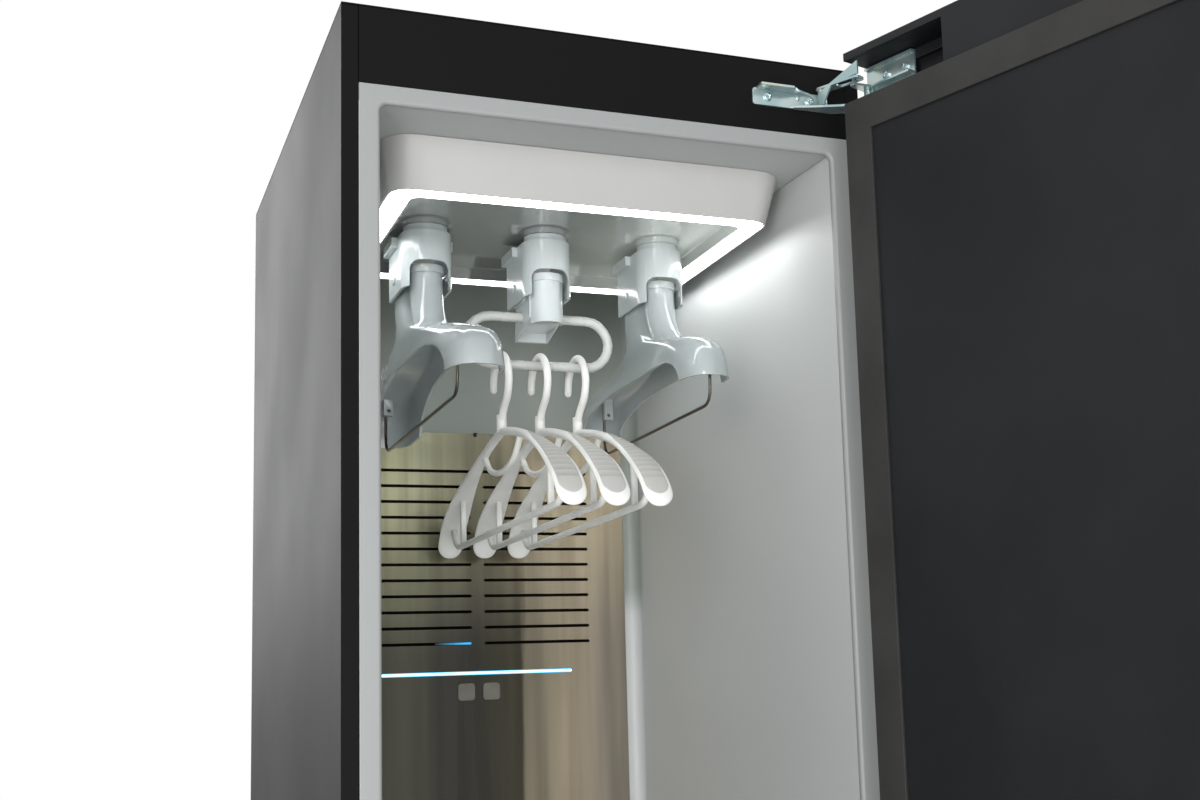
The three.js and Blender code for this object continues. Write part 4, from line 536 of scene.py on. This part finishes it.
def drawn_wire():
    """Dark wire with fine lines along its length."""
    material = new_finish("drawn_wire", metallic=0.85)
    lines = noise(material, 200, 3.0, 0.6, (1, 0.08, 1))
    feed(material, colour_ramp(material, lines, [(0.3, "4c4740"), (0.7, "6c665b")]), "Base Color")
    roughness_between(material, lines, 0.26, 0.4)
    bump(material, lines, 0.1, 0.0001)
    return material


def cast_metal():
    return plain_finish("cast_metal", rough=(0.45, 0.6), shades=("4f5255", "64676a"), patches=18.0,
                        grain=(500, 3.0, 0.4, 0.0005), metallic=0.6)


def fin_sheet():
    material = new_finish("fin_sheet", metallic=0.9)
    worn(material, (0.28, 0.42), ("abadb0", "bfc1c4"), 30.0)
    bump(material, noise(material, 700, 2.0, 0.5, (1, 1, 0.1)), 0.1, 0.0002)
    return material


print("metals ready")

# %% [markdown]
# ## Small mouldings
#
# The loose hangers are off-white with grey grips on their shoulders. The grips are pieces of their
# own with real ribs, and a value stored on their points paints a highlight on the crests, which
# makes them paler than the grooves.


# %% Small mouldings
def hanger_moulding():
    return plain_finish("hanger_moulding", rough=(0.34, 0.46), shades=("e9e9e4", "f4f4f0"),
                        patches=30.0, grain=(500, 2.0, 0.05, 0.0003), specular_ior_level=0.5)


def grip_rubber():
    material = new_finish("grip_rubber", specular_ior_level=0.3)
    # Painted highlight: the stored value crest makes the crests of the ribs paler than the grooves.
    stored = add_node(material, "Attribute", {})
    stored.attribute_name = "crest"
    crest = ramp_over(material, stored.outputs["Fac"], 0.1, 0.9)
    painted_crest_highlight = mix_colours(material, crest, "a9a8a3", "cbcac6")
    feed(material, mix_colours(material, noise(material, 60), painted_crest_highlight, "b9b8b3"), "Base Color")
    roughness_between(material, noise(material, 140), 0.5, 0.62)
    bump(material, noise(material, 1600, 2.0), 0.12, 0.0002)
    return material


def tank_plastic():
    return plain_finish("tank_plastic", rough=(0.12, 0.22), shades=("83898e", "93999e"),
                        patches=5.0, grain=(50, 1.0, 0.03, 0.0005), specular_ior_level=0.55,
                        coat_weight=0.3, coat_roughness=0.08)


def tile_print():
    return plain_finish("tile_print", rough=(0.45, 0.55), shades=("6c6a60", "77756a"),
                        patches=60.0, grain=(1800, 1.0, 0.1, 0.0001), specular_ior_level=0.4)


print("small mouldings ready")

# %% [markdown]
# ## Give every node its finish
#
# The record's material slots say which finish a node has, so the same names are used here. A few
# nodes get a darker copy of their finish: the ceiling, and the hollow hangers as painted shade.
# Every node is welded, shaded smooth and given a fine bevel on its edges. Boxy pieces also get
# weighted normals, which keep their flat sheets flat; on the round ones only the sharpest edges are
# bevelled.

# %% Assign finishes
finishes = {
    "black_steel": black_coat(),
    "black_plastic": black_moulding(),
    # The third colour is the painted shade of the upper back wall.
    "liner_grey": liner_plastic("liner_plastic", "b6b9b7", "c0c2c1", "8d938c"),
    "lamp_grey": lamp_plastic(),
    "panel_grey": mirror_plastic(),
    "light_white": ring_glow(),
    "light_cyan": bar_glow(),
    # The docks take a paler copy of the shared glossy plastic, as painted light.
    "hanger_grey": glossy_hanger("glossy_dock_painted_light", "c0c8c8", "c9d0d0"),
    "rail_grey": satin_rail(),
    "hanger_white": hanger_moulding(),
    "dark_wire": drawn_wire(),
    "brushed_panel": brushed_sheet(),
    "tile_grey": tile_print(),
    "gasket_grey": gasket_rubber(),
    "door_black": door_gloss(),
    "zinc": zinc_plate(),
    "tank_grey": tank_plastic(),
    "cast_grey": cast_metal(),
    "fin_aluminium": fin_sheet(),
}
# Darker copies of a finish: a darker ceiling, and painted shade on the two hollow hangers.
darker_copies = {
    "liner_ceiling": liner_plastic("ceiling_plastic", "a6a9a7", "afb1b0", "a6a9a7"),
    "left_air_hanger": glossy_hanger("glossy_left_hanger_painted_shade", "a6aeae", "b1b8b8"),
    "right_air_hanger": glossy_hanger("glossy_right_hanger_painted_shade", "a3abab", "aeb5b5"),
}
# The front frame takes a darker copy of the liner plastic, as painted shade.
frame_shaded_copy = liner_plastic("frame_plastic_painted_shade", "939695", "9c9e9d", "939695")
slot_of = {entry["node"]: entry["material_slot"] for entry in frame["record"]["subparts"]}
plain_edge = 0.0005
edge_width = {"rear_panel": 0.0002, "light_bar": 0.0003, "liner_ceiling": 0.001}
round_pieces = {"left_air_hanger", "right_air_hanger", "left_trouser_wire", "right_trouser_wire",
                "loop_rail"}
weld_distance = 0.00001
crease_angle = math.radians(38)
round_crease_angle = math.radians(70)


def weigh_normals(piece):
    """Lets large flat faces decide the shading, so that only the rounded edges catch light."""
    normals = piece.modifiers.new("normals", "WEIGHTED_NORMAL")
    normals.keep_sharp = False
    return normals


def soften(piece, width, rounded):
    """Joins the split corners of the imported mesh, rounds its hard edges and smooths its shading."""
    piece.data.shade_smooth()
    weld = piece.modifiers.new("weld", "WELD")
    weld.merge_threshold = weld_distance
    edges = piece.modifiers.new("edges", "BEVEL")
    edges.width = width
    edges.segments = 2
    edges.limit_method = "ANGLE"
    edges.angle_limit = round_crease_angle if rounded else crease_angle
    if not rounded:
        weigh_normals(piece).weight = 60


for name, piece in nodes.items():
    material = darker_copies.get(name, finishes[slot_of[name]])
    if not piece.data.materials:
        piece.data.materials.append(material)
    for material_slot in piece.material_slots:
        material_slot.material = material
    if "custom_normal" in piece.data.attributes:
        piece.data.attributes.remove(piece.data.attributes["custom_normal"])
    soften(piece, edge_width.get(name, plain_edge), name in round_pieces)
print("finishes given to", len(nodes), "pieces")

# %% [markdown]
# ## Building blocks for pieces
#
# The extra pieces are built from rows or rings of points, with faces between each two neighbours.

# %% Piece helpers
least_size = 0.0001


def ease(value):
    """A smooth step of the value from 0 to 1."""
    share = min(max(value, 0), 1)
    return share * share * (3 - 2 * share)


def bridge(shape, rows, closed=False):
    """Faces between neighbouring rows of points; closed rows are rings."""
    count = len(rows[0])
    for first, second in zip(rows, rows[1:]):
        for k in range(count if closed else count - 1):
            after = (k + 1) % count
            shape.faces.new((first[k], first[after], second[after], second[k]))


def skin(shape, rings):
    """A closed skin over a row of rings."""
    bridge(shape, rings, closed=True)
    shape.faces.new(rings[0][::-1])
    shape.faces.new(rings[-1])


def shift_extruded(shape, extruded, offset):
    """Moves the points that an extrusion has made."""
    points = [part for part in extruded["geom"] if isinstance(part, bmesh.types.BMVert)]
    bmesh.ops.translate(shape, vec=offset, verts=points)


def add_piece(name, shape, material, body):
    """Turns a built shape into a smooth piece that rides on a body."""
    mesh = bpy.data.meshes.new(name)
    shape.to_mesh(mesh)
    shape.free()
    mesh.shade_smooth()
    mesh.materials.append(material)
    piece = add_object(name, mesh)
    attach(piece, body)
    return piece


print("piece helpers ready")

# %% [markdown]
# ## Front frame of the liner
#
# On the real cabinet the pale frame round the opening is one sheet with rounded corners, and its
# inner edge rolls into the cabin as far as a fine joint. In the CAD model the ceiling is a piece of
# its own, so a thin cover is laid over both: a profile of face and rolled edge is swept up one
# side, round the two corners and down the other side.

# %% Liner frame
frame_half = 0.2090
frame_top = 1.7862
frame_foot = 0.4225
opening_half = 0.19305
opening_top = 1.7715
opening_corner = 0.0065
corner_steps = 12
face_y = body_front - touch_gap
roll = 0.003
roll_steps = 8
roll_depth = 0.0052
inner_tuck = 0.0006
outer_chamfer = 0.0004
outer_depth = 0.0012


def frame_stations():
    """Points round the opening, the way out from each, and the points on the outer edge."""
    corner = Vector((opening_half - opening_corner, 0, opening_top - opening_corner))
    foot = (Vector((opening_half, 0, frame_foot)), Vector((1, 0, 0)),
            Vector((frame_half, 0, frame_foot)))
    stations = [foot]
    turns = [i / corner_steps * math.pi / 2 for i in range(corner_steps + 1)]
    turns.append(math.atan2(frame_top - corner.z, frame_half - corner.x))
    for turn in sorted(turns):
        out = Vector((math.cos(turn), 0, math.sin(turn)))
        reach = min((frame_half - corner.x) / max(out.x, 1e-6),
                    (frame_top - corner.z) / max(out.z, 1e-6))
        stations.append((corner + out * opening_corner, out, corner + out * reach))
    mirrored = [tuple(Vector((-v.x, v.y, v.z)) for v in station) for station in reversed(stations)]
    return stations + mirrored


def frame_profile(inner, out, outer):
    """Points from the joint inside the cabin, over the rolled edge and the face, to the outside."""
    def at(point, push, behind):
        return point + out * push + Vector((0, face_y + behind, 0))
    line = [at(inner, inner_tuck, roll_depth + 0.0001), at(inner, 0, roll_depth)]
    for i in range(roll_steps + 1):
        turn = i / roll_steps * math.pi / 2
        line.append(at(inner, roll * (1 - math.cos(turn)), roll * (1 - math.sin(turn))))
    return line + [at(outer, -outer_chamfer, 0), at(outer, 0, outer_chamfer),
                   at(outer, 0, outer_depth)]


def add_liner_frame():
    shape = bmesh.new()
    rows = [[shape.verts.new(place) for place in frame_profile(*station)]
            for station in frame_stations()]
    bridge(shape, rows)
    bmesh.ops.recalc_face_normals(shape, faces=shape.faces)
    front = [face for face in shape.faces if abs(face.normal.y) > 0.99]
    if sum(face.normal.y for face in front) > 0:
        bmesh.ops.reverse_faces(shape, faces=shape.faces)
    weigh_normals(add_piece("liner_frame", shape, frame_shaded_copy, "cabinet"))


add_liner_frame()
print("liner frame stations", len(frame_stations()))

# %% [markdown]
# ## Smooth loose hangers
#
# A loose hanger is one white moulding: a hook, arched shoulders that widen into pads, and a bar on
# two struts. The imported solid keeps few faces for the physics, so its round parts show corners
# close up. Subdividing it would melt its thin bars, so each part is swept again along the same
# lines as in the CAD model, with fine rings, and the new piece takes the solid's place.

# %% Hanger sizes
hanger_numbers = (1, 2, 3)
shoulder_half = 0.2165
crest_drop = 0.288
pad_drop = 0.384
crest_height = body_height - crest_drop
shoulder_fall = pad_drop - crest_drop
crest_power = 1.3
fall_power = 0.55
arch_half_width = 0.004
pad_half_width = 0.013
arch_thick = 0.004
pad_thick = 0.003
spread_start = 0.12
spread_run = 0.58
tip_start = 0.86
thin_start = 0.9
thin_least = 0.02
slope_step = 0.01
shoulder_steps = 600


def hanger_place(number):
    """The x of a loose hanger, and the y of its middle."""
    low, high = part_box(f"garment_hanger_{number}")
    return (low.x + high.x) / 2, (low.y + high.y) / 2


def shoulder_place(share):
    """Distance from the middle and height of the shoulder's centre line."""
    run = math.sin(share * math.pi / 2)
    fall = 1 - (1 - run ** crest_power) ** fall_power
    return shoulder_half * run, crest_height - shoulder_fall * fall


def pad_share(share):
    """How far the shoulder has widened into its pad, from 0 to 1."""
    return ease((share - spread_start) / spread_run)


def shoulder_at(share):
    """Distance from the middle, height, slope and half width of a hanger's shoulder."""
    away, height = shoulder_place(share)
    ahead = shoulder_place(min(share + slope_step, 1))
    behind = shoulder_place(max(share - slope_step, 0))
    lean = math.atan2(behind[1] - ahead[1], ahead[0] - behind[0])
    tip = max(0, (share - tip_start) / (1 - tip_start))
    wide = arch_half_width + (pad_half_width - arch_half_width) * pad_share(share)
    return away, height, lean, wide * math.sqrt(max(0, 1 - tip * tip))


def thickness_at(share):
    """Half thickness of the shoulder, which thins out at the tip."""
    thin = max(0, (share - thin_start) / (1 - thin_start))
    thick = arch_thick + (pad_thick - arch_thick) * pad_share(share)
    return thick * math.sqrt(max(thin_least, 1 - thin * thin))


def shoulder_table():
    """Rows of length along the shoulder, the values there, and the share of its arc."""
    table = []
    length = 0.0
    last = None
    for i in range(shoulder_steps + 1):
        share = i / shoulder_steps
        away, height, lean, half = shoulder_at(share)
        if last:
            length += math.hypot(away - last[0], height - last[1])
        last = (away, height)
        table.append((length, away, height, lean, half, share))
    return table


shoulder = shoulder_table()
print("shoulder length", round(shoulder[-1][0] * 1000, 1), "mm")

# %% Sweeps
corner_limit = 0.4


def add_ring(shape, centre, across, up, sides, power=2.0):
    """Points round a centre; power 2 is round, 4 nearly square."""
    ring = []
    for k in range(sides):
        turn = k / sides * 2 * math.pi
        c, d = math.cos(turn), math.sin(turn)
        c = math.copysign(abs(c) ** (2 / power), c)
        d = math.copysign(abs(d) ** (2 / power), d)
        ring.append(shape.verts.new(centre + across * c + up * d))
    return ring


def tube(shape, path, radius, sides=16, power=2.0):
    """A bar along a path that stays in one plane of constant x."""
    across = Vector((1, 0, 0))
    rings = []
    for i, point in enumerate(path):
        ahead = path[min(i + 1, len(path) - 1)]
        behind = path[max(i - 1, 0)]
        up = across.cross((ahead - behind).normalized())
        rings.append(add_ring(shape, point, across * radius, up * radius, sides, power))
    skin(shape, rings)


def smooth_path(points, steps):
    """A curve through the points."""
    result = []
    for i in range(len(points) - 1):
        a = points[i - 1] if i else points[0] * 2 - points[1]
        b, c = points[i], points[i + 1]
        d = points[i + 2] if i + 2 < len(points) else c * 2 - b
        for k in range(steps):
            t = k / steps
            result.append(0.5 * ((2 * b) + (c - a) * t + (2 * a - 5 * b + 4 * c - d) * t * t
                                 + (3 * b - a - 3 * c + d) * t ** 3))
    return result + [points[-1]]


def rounded_path(points, radius, steps=8):
    """Straight runs with rounded corners."""
    result = [points[0]]
    for behind, corner, ahead in zip(points, points[1:], points[2:]):
        enter, leave = (
            corner + (end - corner).normalized() * min(radius, (end - corner).length * corner_limit)
            for end in (behind, ahead))
        for k in range(steps + 1):
            t = k / steps
            result.append(enter * (1 - t) ** 2 + corner * 2 * t * (1 - t) + leave * t * t)
    return result + [points[-1]]


# %% Parts of a loose hanger
rail_drop = 0.2235
rail_radius = 0.0046
hook_radius = 0.028
hook_wire = 0.0035
stem_radius = 0.0046
stem_tops = (1.02, 1.05)
hook_centre = body_height - rail_drop + rail_radius + touch_gap + hook_wire - hook_radius
hook_shape = [(math.cos(i / 8 * math.pi), math.sin(i / 8 * math.pi)) for i in range(9)]
hook_shape += [(-0.8, -0.48), (-0.3, -0.86), (0, -1.22)]
cap_steps = 6
arch_steps = 44
arch_crowding = 1.6
arch_last = 0.999
arch_sides = 28
bar_height = body_height - 0.377
bar_half = 0.182
bar_reach = 0.198
bar_radius = 0.003
bar_corner = 0.014
strut_place = 0.155
strut_half = 0.0028
notch_half = 0.066
notch_middle = 0.041
notch_low = body_height - 0.325
notch_wire = 0.0028
notch_rise = 0.26


def height_over(away):
    """Height of the shoulder's centre line at a distance from the middle."""
    return min(shoulder, key=lambda row: abs(row[1] - away))[2]


def add_arch(shape, x, middle):
    """Both shoulders in one sweep, with closer rings towards the tips."""
    rings = []
    shares = [1 - (1 - i / arch_steps) ** arch_crowding for i in range(arch_steps + 1)]
    for side, run in ((-1, shares[:0:-1]), (1, shares)):
        for share in run:
            away, height, lean, half = shoulder_at(min(share, arch_last))
            if share == 0:
                lean = 0
            up = Vector((0, side * math.sin(lean), math.cos(lean))) * thickness_at(share)
            centre = Vector((x, middle + side * away, height))
            rings.append(add_ring(shape, centre, Vector((half, 0, 0)), up, arch_sides))
    skin(shape, rings)


def add_hook(shape, x, middle):
    """The bent wire with its round end, and the thicker stem below it."""
    line = smooth_path([Vector((x, middle + a * hook_radius, hook_centre + b * hook_radius))
                        for a, b in hook_shape], 6)
    tube(shape, line, hook_wire)
    rings = []
    for i in range(cap_steps + 1):
        turn = i / cap_steps * math.pi / 2
        size = max(hook_wire * math.cos(turn), least_size)
        centre = line[0] - Vector((0, 0, hook_wire * math.sin(turn)))
        rings.append(add_ring(shape, centre, Vector((size, 0, 0)), Vector((0, size, 0)), 16))
    skin(shape, rings)
    stem = [crest_height] + [hook_centre - hook_radius * top for top in stem_tops]
    tube(shape, [Vector((x, middle, height)) for height in stem], stem_radius, 24)


def add_frame(shape, x, middle):
    """The trouser bar, its two struts and the notched wire under the crest."""
    def at(y, z):
        return Vector((x, middle + y, z))
    bar_end = height_over(bar_reach)
    corners = [at(-bar_reach, bar_end), at(-bar_half, bar_height), at(bar_half, bar_height),
               at(bar_reach, bar_end)]
    tube(shape, rounded_path(corners, bar_corner), bar_radius)
    for place in (-strut_place, strut_place):
        strut = [at(place, bar_height), at(place, height_over(strut_place))]
        tube(shape, strut, strut_half, power=4.0)
    high = height_over(notch_half)
    side_height = notch_low + (high - notch_low) * notch_rise
    notch = [at(-notch_half, high), at(-notch_middle, side_height), at(0, notch_low),
             at(notch_middle, side_height), at(notch_half, high)]
    tube(shape, smooth_path(notch, 9), notch_wire)


# %% Place the loose hangers
def add_loose_hanger(number):
    x, middle = hanger_place(number)
    shape = bmesh.new()
    add_arch(shape, x, middle)
    add_hook(shape, x, middle)
    add_frame(shape, x, middle)
    bmesh.ops.recalc_face_normals(shape, faces=shape.faces)
    piece = add_piece(f"smooth_hanger_{number}", shape, finishes["hanger_white"],
                      f"loose_hanger_{number}")
    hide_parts(f"garment_hanger_{number}")


for number in hanger_numbers:
    add_loose_hanger(number)
print("loose hangers", len(hanger_numbers))

# %% [markdown]
# ## Grips on the loose hangers
#
# Each shoulder of a loose hanger carries a grey grip with raised ribs, sunk into the white pad so
# that a white border stays. It could be painted with a mask, but ribs of real height catch the
# light and have clean edges. So each grip is a grid laid over the pad's rounded top, and a
# saw-tooth profile lifts its rows into ribs. A value stored on its points paints a highlight on
# the crests, which makes them paler than the grooves.

# %% Grip rows
grip_start = 0.088
grip_tip_gap = 0.0095
grip_border = 0.0027
grip_least = 0.0002
grip_round = 0.011
grip_opening = 0.03
grip_plain = 0.017
grip_pitch = 0.0088
grip_sunk = 0.0003
root_lift = 0.0002
tip_lift = 0.0004
crest_low = 0.0001
crest_span = 0.0005
rib_profile = [(0.0, 0.00052), (0.1, 0.00014), (0.35, 0.0002), (0.7, 0.00036), (0.94, 0.0005)]
tip_runs = [0.001, 0.003, 0.006, 0.009, 0.012, 0.0145, 0.016, 0.0168, 0.017]
grip_across = [-1, -0.94, -0.8, -0.6, -0.4, -0.2, 0, 0.2, 0.4, 0.6, 0.8, 0.94, 1]


def row_places():
    """Lengths along the shoulder with the lift of the grip there, and the grip's two ends."""
    start = next(row[0] for row in shoulder if row[1] >= grip_start)
    end = shoulder[-1][0] - grip_tip_gap
    rows = []
    at = end - grip_plain
    while at > start + grip_pitch:
        rows += [(at - grip_pitch * share, lift) for share, lift in rib_profile]
        at -= grip_pitch
    rows += [(start + (at - start) * share, root_lift) for share in (0, 0.25, 0.5, 0.75)]
    rows += [(end - grip_plain + run, tip_lift) for run in tip_runs]
    return sorted(rows), start, end


def grip_half(length, half, start, end):
    """Half width of the grip: rounded at the tip, pointed at the start."""
    into = max(0.0, (length - (end - grip_round)) / grip_round)
    opened = 0.35 + 0.65 * min(1.0, (length - start) / grip_opening)
    return max(half - grip_border, grip_least) * math.sqrt(max(0.0, 1 - into * into)) * opened


def add_grip(name, side, x, middle, body):
    """A ribbed grip on one shoulder; its outer points are sunk into the pad."""
    places, start, end = row_places()
    grid = bmesh.new()
    crest = grid.verts.layers.float.new("crest")
    rows = []
    for length, lift in places:
        nearest = min(shoulder, key=lambda entry: abs(entry[0] - length))
        away, height, lean, half, share = nearest[1:]
        wide = grip_half(length, half, start, end)
        thick = thickness_at(share)
        row = []
        for across in grip_across:
            outer = abs(across) == 1 or length in (places[0][0], places[-1][0])
            off = across * wide
            up = thick * math.sqrt(max(0.0, 1 - (off / max(half, least_size)) ** 2))
            up += -grip_sunk if outer else lift
            vertex = grid.verts.new((x + off, middle + side * (away + up * math.sin(lean)),
                                     height + up * math.cos(lean)))
            # The stored value crest carries the painted highlight: the higher a row is lifted, the
            # paler it is.
            vertex[crest] = (lift - crest_low) / crest_span
            row.append(vertex)
        rows.append(row)
    bridge(grid, rows)
    bmesh.ops.recalc_face_normals(grid, faces=grid.faces)
    if sum(face.normal.z for face in grid.faces) < 0:
        bmesh.ops.reverse_faces(grid, faces=grid.faces)
    add_piece(name, grid, grip_finish, body)


# %% Place the grips
grip_finish = grip_rubber()
for number in hanger_numbers:
    for label, side in (("front", -1), ("rear", 1)):
        add_grip(f"grip_{number}_{label}", side, *hanger_place(number), f"loose_hanger_{number}")
print("grips", 2 * len(hanger_numbers), "with rows", len(row_places()[0]))

# %% [markdown]
# ## Screws and the pressed knob of the hinges
#
# The hinge plates are held by cross-headed screws, and a small knob is pressed out of each base.
# A screw head could be a cylinder with a boolean cut, but a height field gives a domed head with
# a soft-edged cross in one shape: a square grid is bent into a disc and lifted point by point.

# %% Screw heads
screw_grid = 30
screw_radius = 0.0037
screw_dome = 0.0009
screw_skirt = 0.0004
dome_power = 2.6
cross_half_width = 0.00062
cross_reach = 0.0021
cross_depth = 0.0008
cross_fade = 0.00022


def beyond(value, edge):
    """0 inside an edge of the cross, 1 outside it."""
    return ease((abs(value) - edge) / cross_fade + 0.5)


def screw_height(a, b, radius, dome, crossed):
    """Height of a head above its rim."""
    height = dome * math.sqrt(max(0.0, 1 - (math.hypot(a, b) / radius) ** dome_power))
    if crossed:
        one = (1 - beyond(a, cross_half_width)) * (1 - beyond(b, cross_reach))
        two = (1 - beyond(b, cross_half_width)) * (1 - beyond(a, cross_reach))
        height -= cross_depth * max(one, two)
    return height


def add_head(name, place, direction, turn, body, radius=screw_radius, dome=screw_dome,
             crossed=True):
    """A domed head that looks along the direction, with a cross turned by an angle."""
    shape = bmesh.new()
    rows = []
    for i in range(screw_grid + 1):
        row = []
        for j in range(screw_grid + 1):
            u, v = 2 * i / screw_grid - 1, 2 * j / screw_grid - 1
            a = u * math.sqrt(1 - v * v / 2) * radius
            b = v * math.sqrt(1 - u * u / 2) * radius
            row.append(shape.verts.new((a, b, screw_height(a, b, radius, dome, crossed))))
        rows.append(row)
    bridge(shape, list(zip(*rows)))
    rim = [edge for edge in shape.edges if edge.is_boundary]
    shift_extruded(shape, bmesh.ops.extrude_edge_only(shape, edges=rim), (0, 0, -screw_skirt))
    aim = Vector(direction).to_track_quat("Z", "Y").to_matrix().to_4x4()
    shape.transform(Matrix.Translation(place) @ aim @ Matrix.Rotation(turn, 4, "Z"))
    add_piece(name, shape, finishes["zinc"], body)


# %% Place the screws
hinge_heights = {"upper": 1.823, "lower": 0.037}
hinge_sheet = 0.002
screw_proud = 0.0012
plate_face = body_front - touch_gap - hinge_sheet
base_screws = [(0.1337, 0.5), (0.1733, 1.4)]    # x and turn of the cross
base_screw_drop = 0.0075
knob_place = 0.1625
knob_drop = 0.0052
knob_radius = 0.0024
knob_dome = 0.0011
arm_sheet_y = -0.3129
arm_screws = [(0.1761, 0.2), (0.1981, 0.9)]
arm_screw_rise = 0.007
door_open_angle = 107.5
door_turn = Matrix.Rotation(math.radians(door_open_angle), 3, "Z")
door_pivot = Vector((0.2181, -0.3084, 0))
towards_front = Vector((0, -1, 0))
towards_back = Vector((0, 1, 0))


def on_open_door(point):
    """A place on the shut door, turned with the door to its place at rest."""
    return door_pivot + door_turn @ (Vector(point) - door_pivot)


for label, height in hinge_heights.items():
    for count, (x, turn) in enumerate(base_screws, 1):
        place = Vector((x, plate_face - screw_proud, height - base_screw_drop))
        add_head(f"{label}_base_screw_{count}", place, towards_front, turn, "cabinet")
    add_head(f"{label}_base_knob", Vector((knob_place, plate_face, height - knob_drop)),
             towards_front, 0, "cabinet", radius=knob_radius, dome=knob_dome, crossed=False)
    for count, (x, turn) in enumerate(arm_screws, 1):
        place = on_open_door((x, arm_sheet_y + hinge_sheet + screw_proud, height + arm_screw_rise))
        add_head(f"{label}_arm_screw_{count}", place, door_turn @ towards_back, turn, "door")
print("screw heads placed")

# %% [markdown]
# ## Light behind the lowest slot, and the clip on the rear panel
#
# The cyan light bar also shines behind the panel, so a short stretch of the lowest slot glows blue.
# A flat strip that fades along its length stands in the slot. A small hooked clip holds the top
# edge of the panel.

# %% Slot glow and clip
panel_front = panel_low.y
slot_drop = 0.2875
slot_pitch = 0.01668
lowest_slot = body_height - slot_drop - 11 * slot_pitch
glow_left = -0.046
glow_right = -0.0079
glow_point = 0.0008
glow_half = 0.0011
glow_depth = 0.0008
glow_setback = 0.0007
glow_outline = [(glow_left, -glow_half), (glow_right, -glow_half), (glow_right + glow_point, 0),
                (glow_right, glow_half), (glow_left, glow_half)]
glow_place = (0, panel_front + glow_setback, lowest_slot)
clip_outline = [(-0.0021, 0.001), (-0.0019, -0.0024), (-0.0008, -0.0034), (0.0008, -0.0034),
                (0.0019, -0.0024), (0.0021, 0.001)]
clip_depth = 0.0012
clip_place = (-0.001, panel_front - 0.0013, panel_high.z - 0.0002)


def slot_glow_finish():
    """Dark at the left end of the strip, bright blue at its right end."""
    material = new_finish("slot_glow", roughness=0.5)
    along = ramp_over(material, place_parts(material)["X"], glow_left, glow_right)
    uneven = ramp_over(material, noise(material, 90, 2.0), 0.3, 0.6, 0.6, 1.0)
    share = math_node(material, "MULTIPLY", along, uneven)
    give_light(material, mix_colours(material, share, "0a1c2a", "39b4ee"), 0.7)
    return material


def add_prism(name, outline, depth, place, material, bevel):
    """An outline in x and z on the cabinet, given depth along y and rounded edges."""
    shape = bmesh.new()
    face = shape.faces.new([shape.verts.new((x, 0, z)) for x, z in outline])
    shift_extruded(shape, bmesh.ops.extrude_face_region(shape, geom=[face]), (0, depth, 0))
    bmesh.ops.recalc_face_normals(shape, faces=shape.faces)
    bmesh.ops.bevel(shape, geom=shape.edges, offset=bevel, segments=2, affect="EDGES", profile=0.5)
    bmesh.ops.translate(shape, vec=place, verts=shape.verts)
    add_piece(name, shape, material, "cabinet")


add_prism("slot_glow", glow_outline, glow_depth, glow_place, slot_glow_finish(),
          bevel=0.0002)
add_prism("panel_clip", clip_outline, clip_depth, clip_place, finishes["black_plastic"],
          bevel=0.0003)
print("slot glow and clip placed")
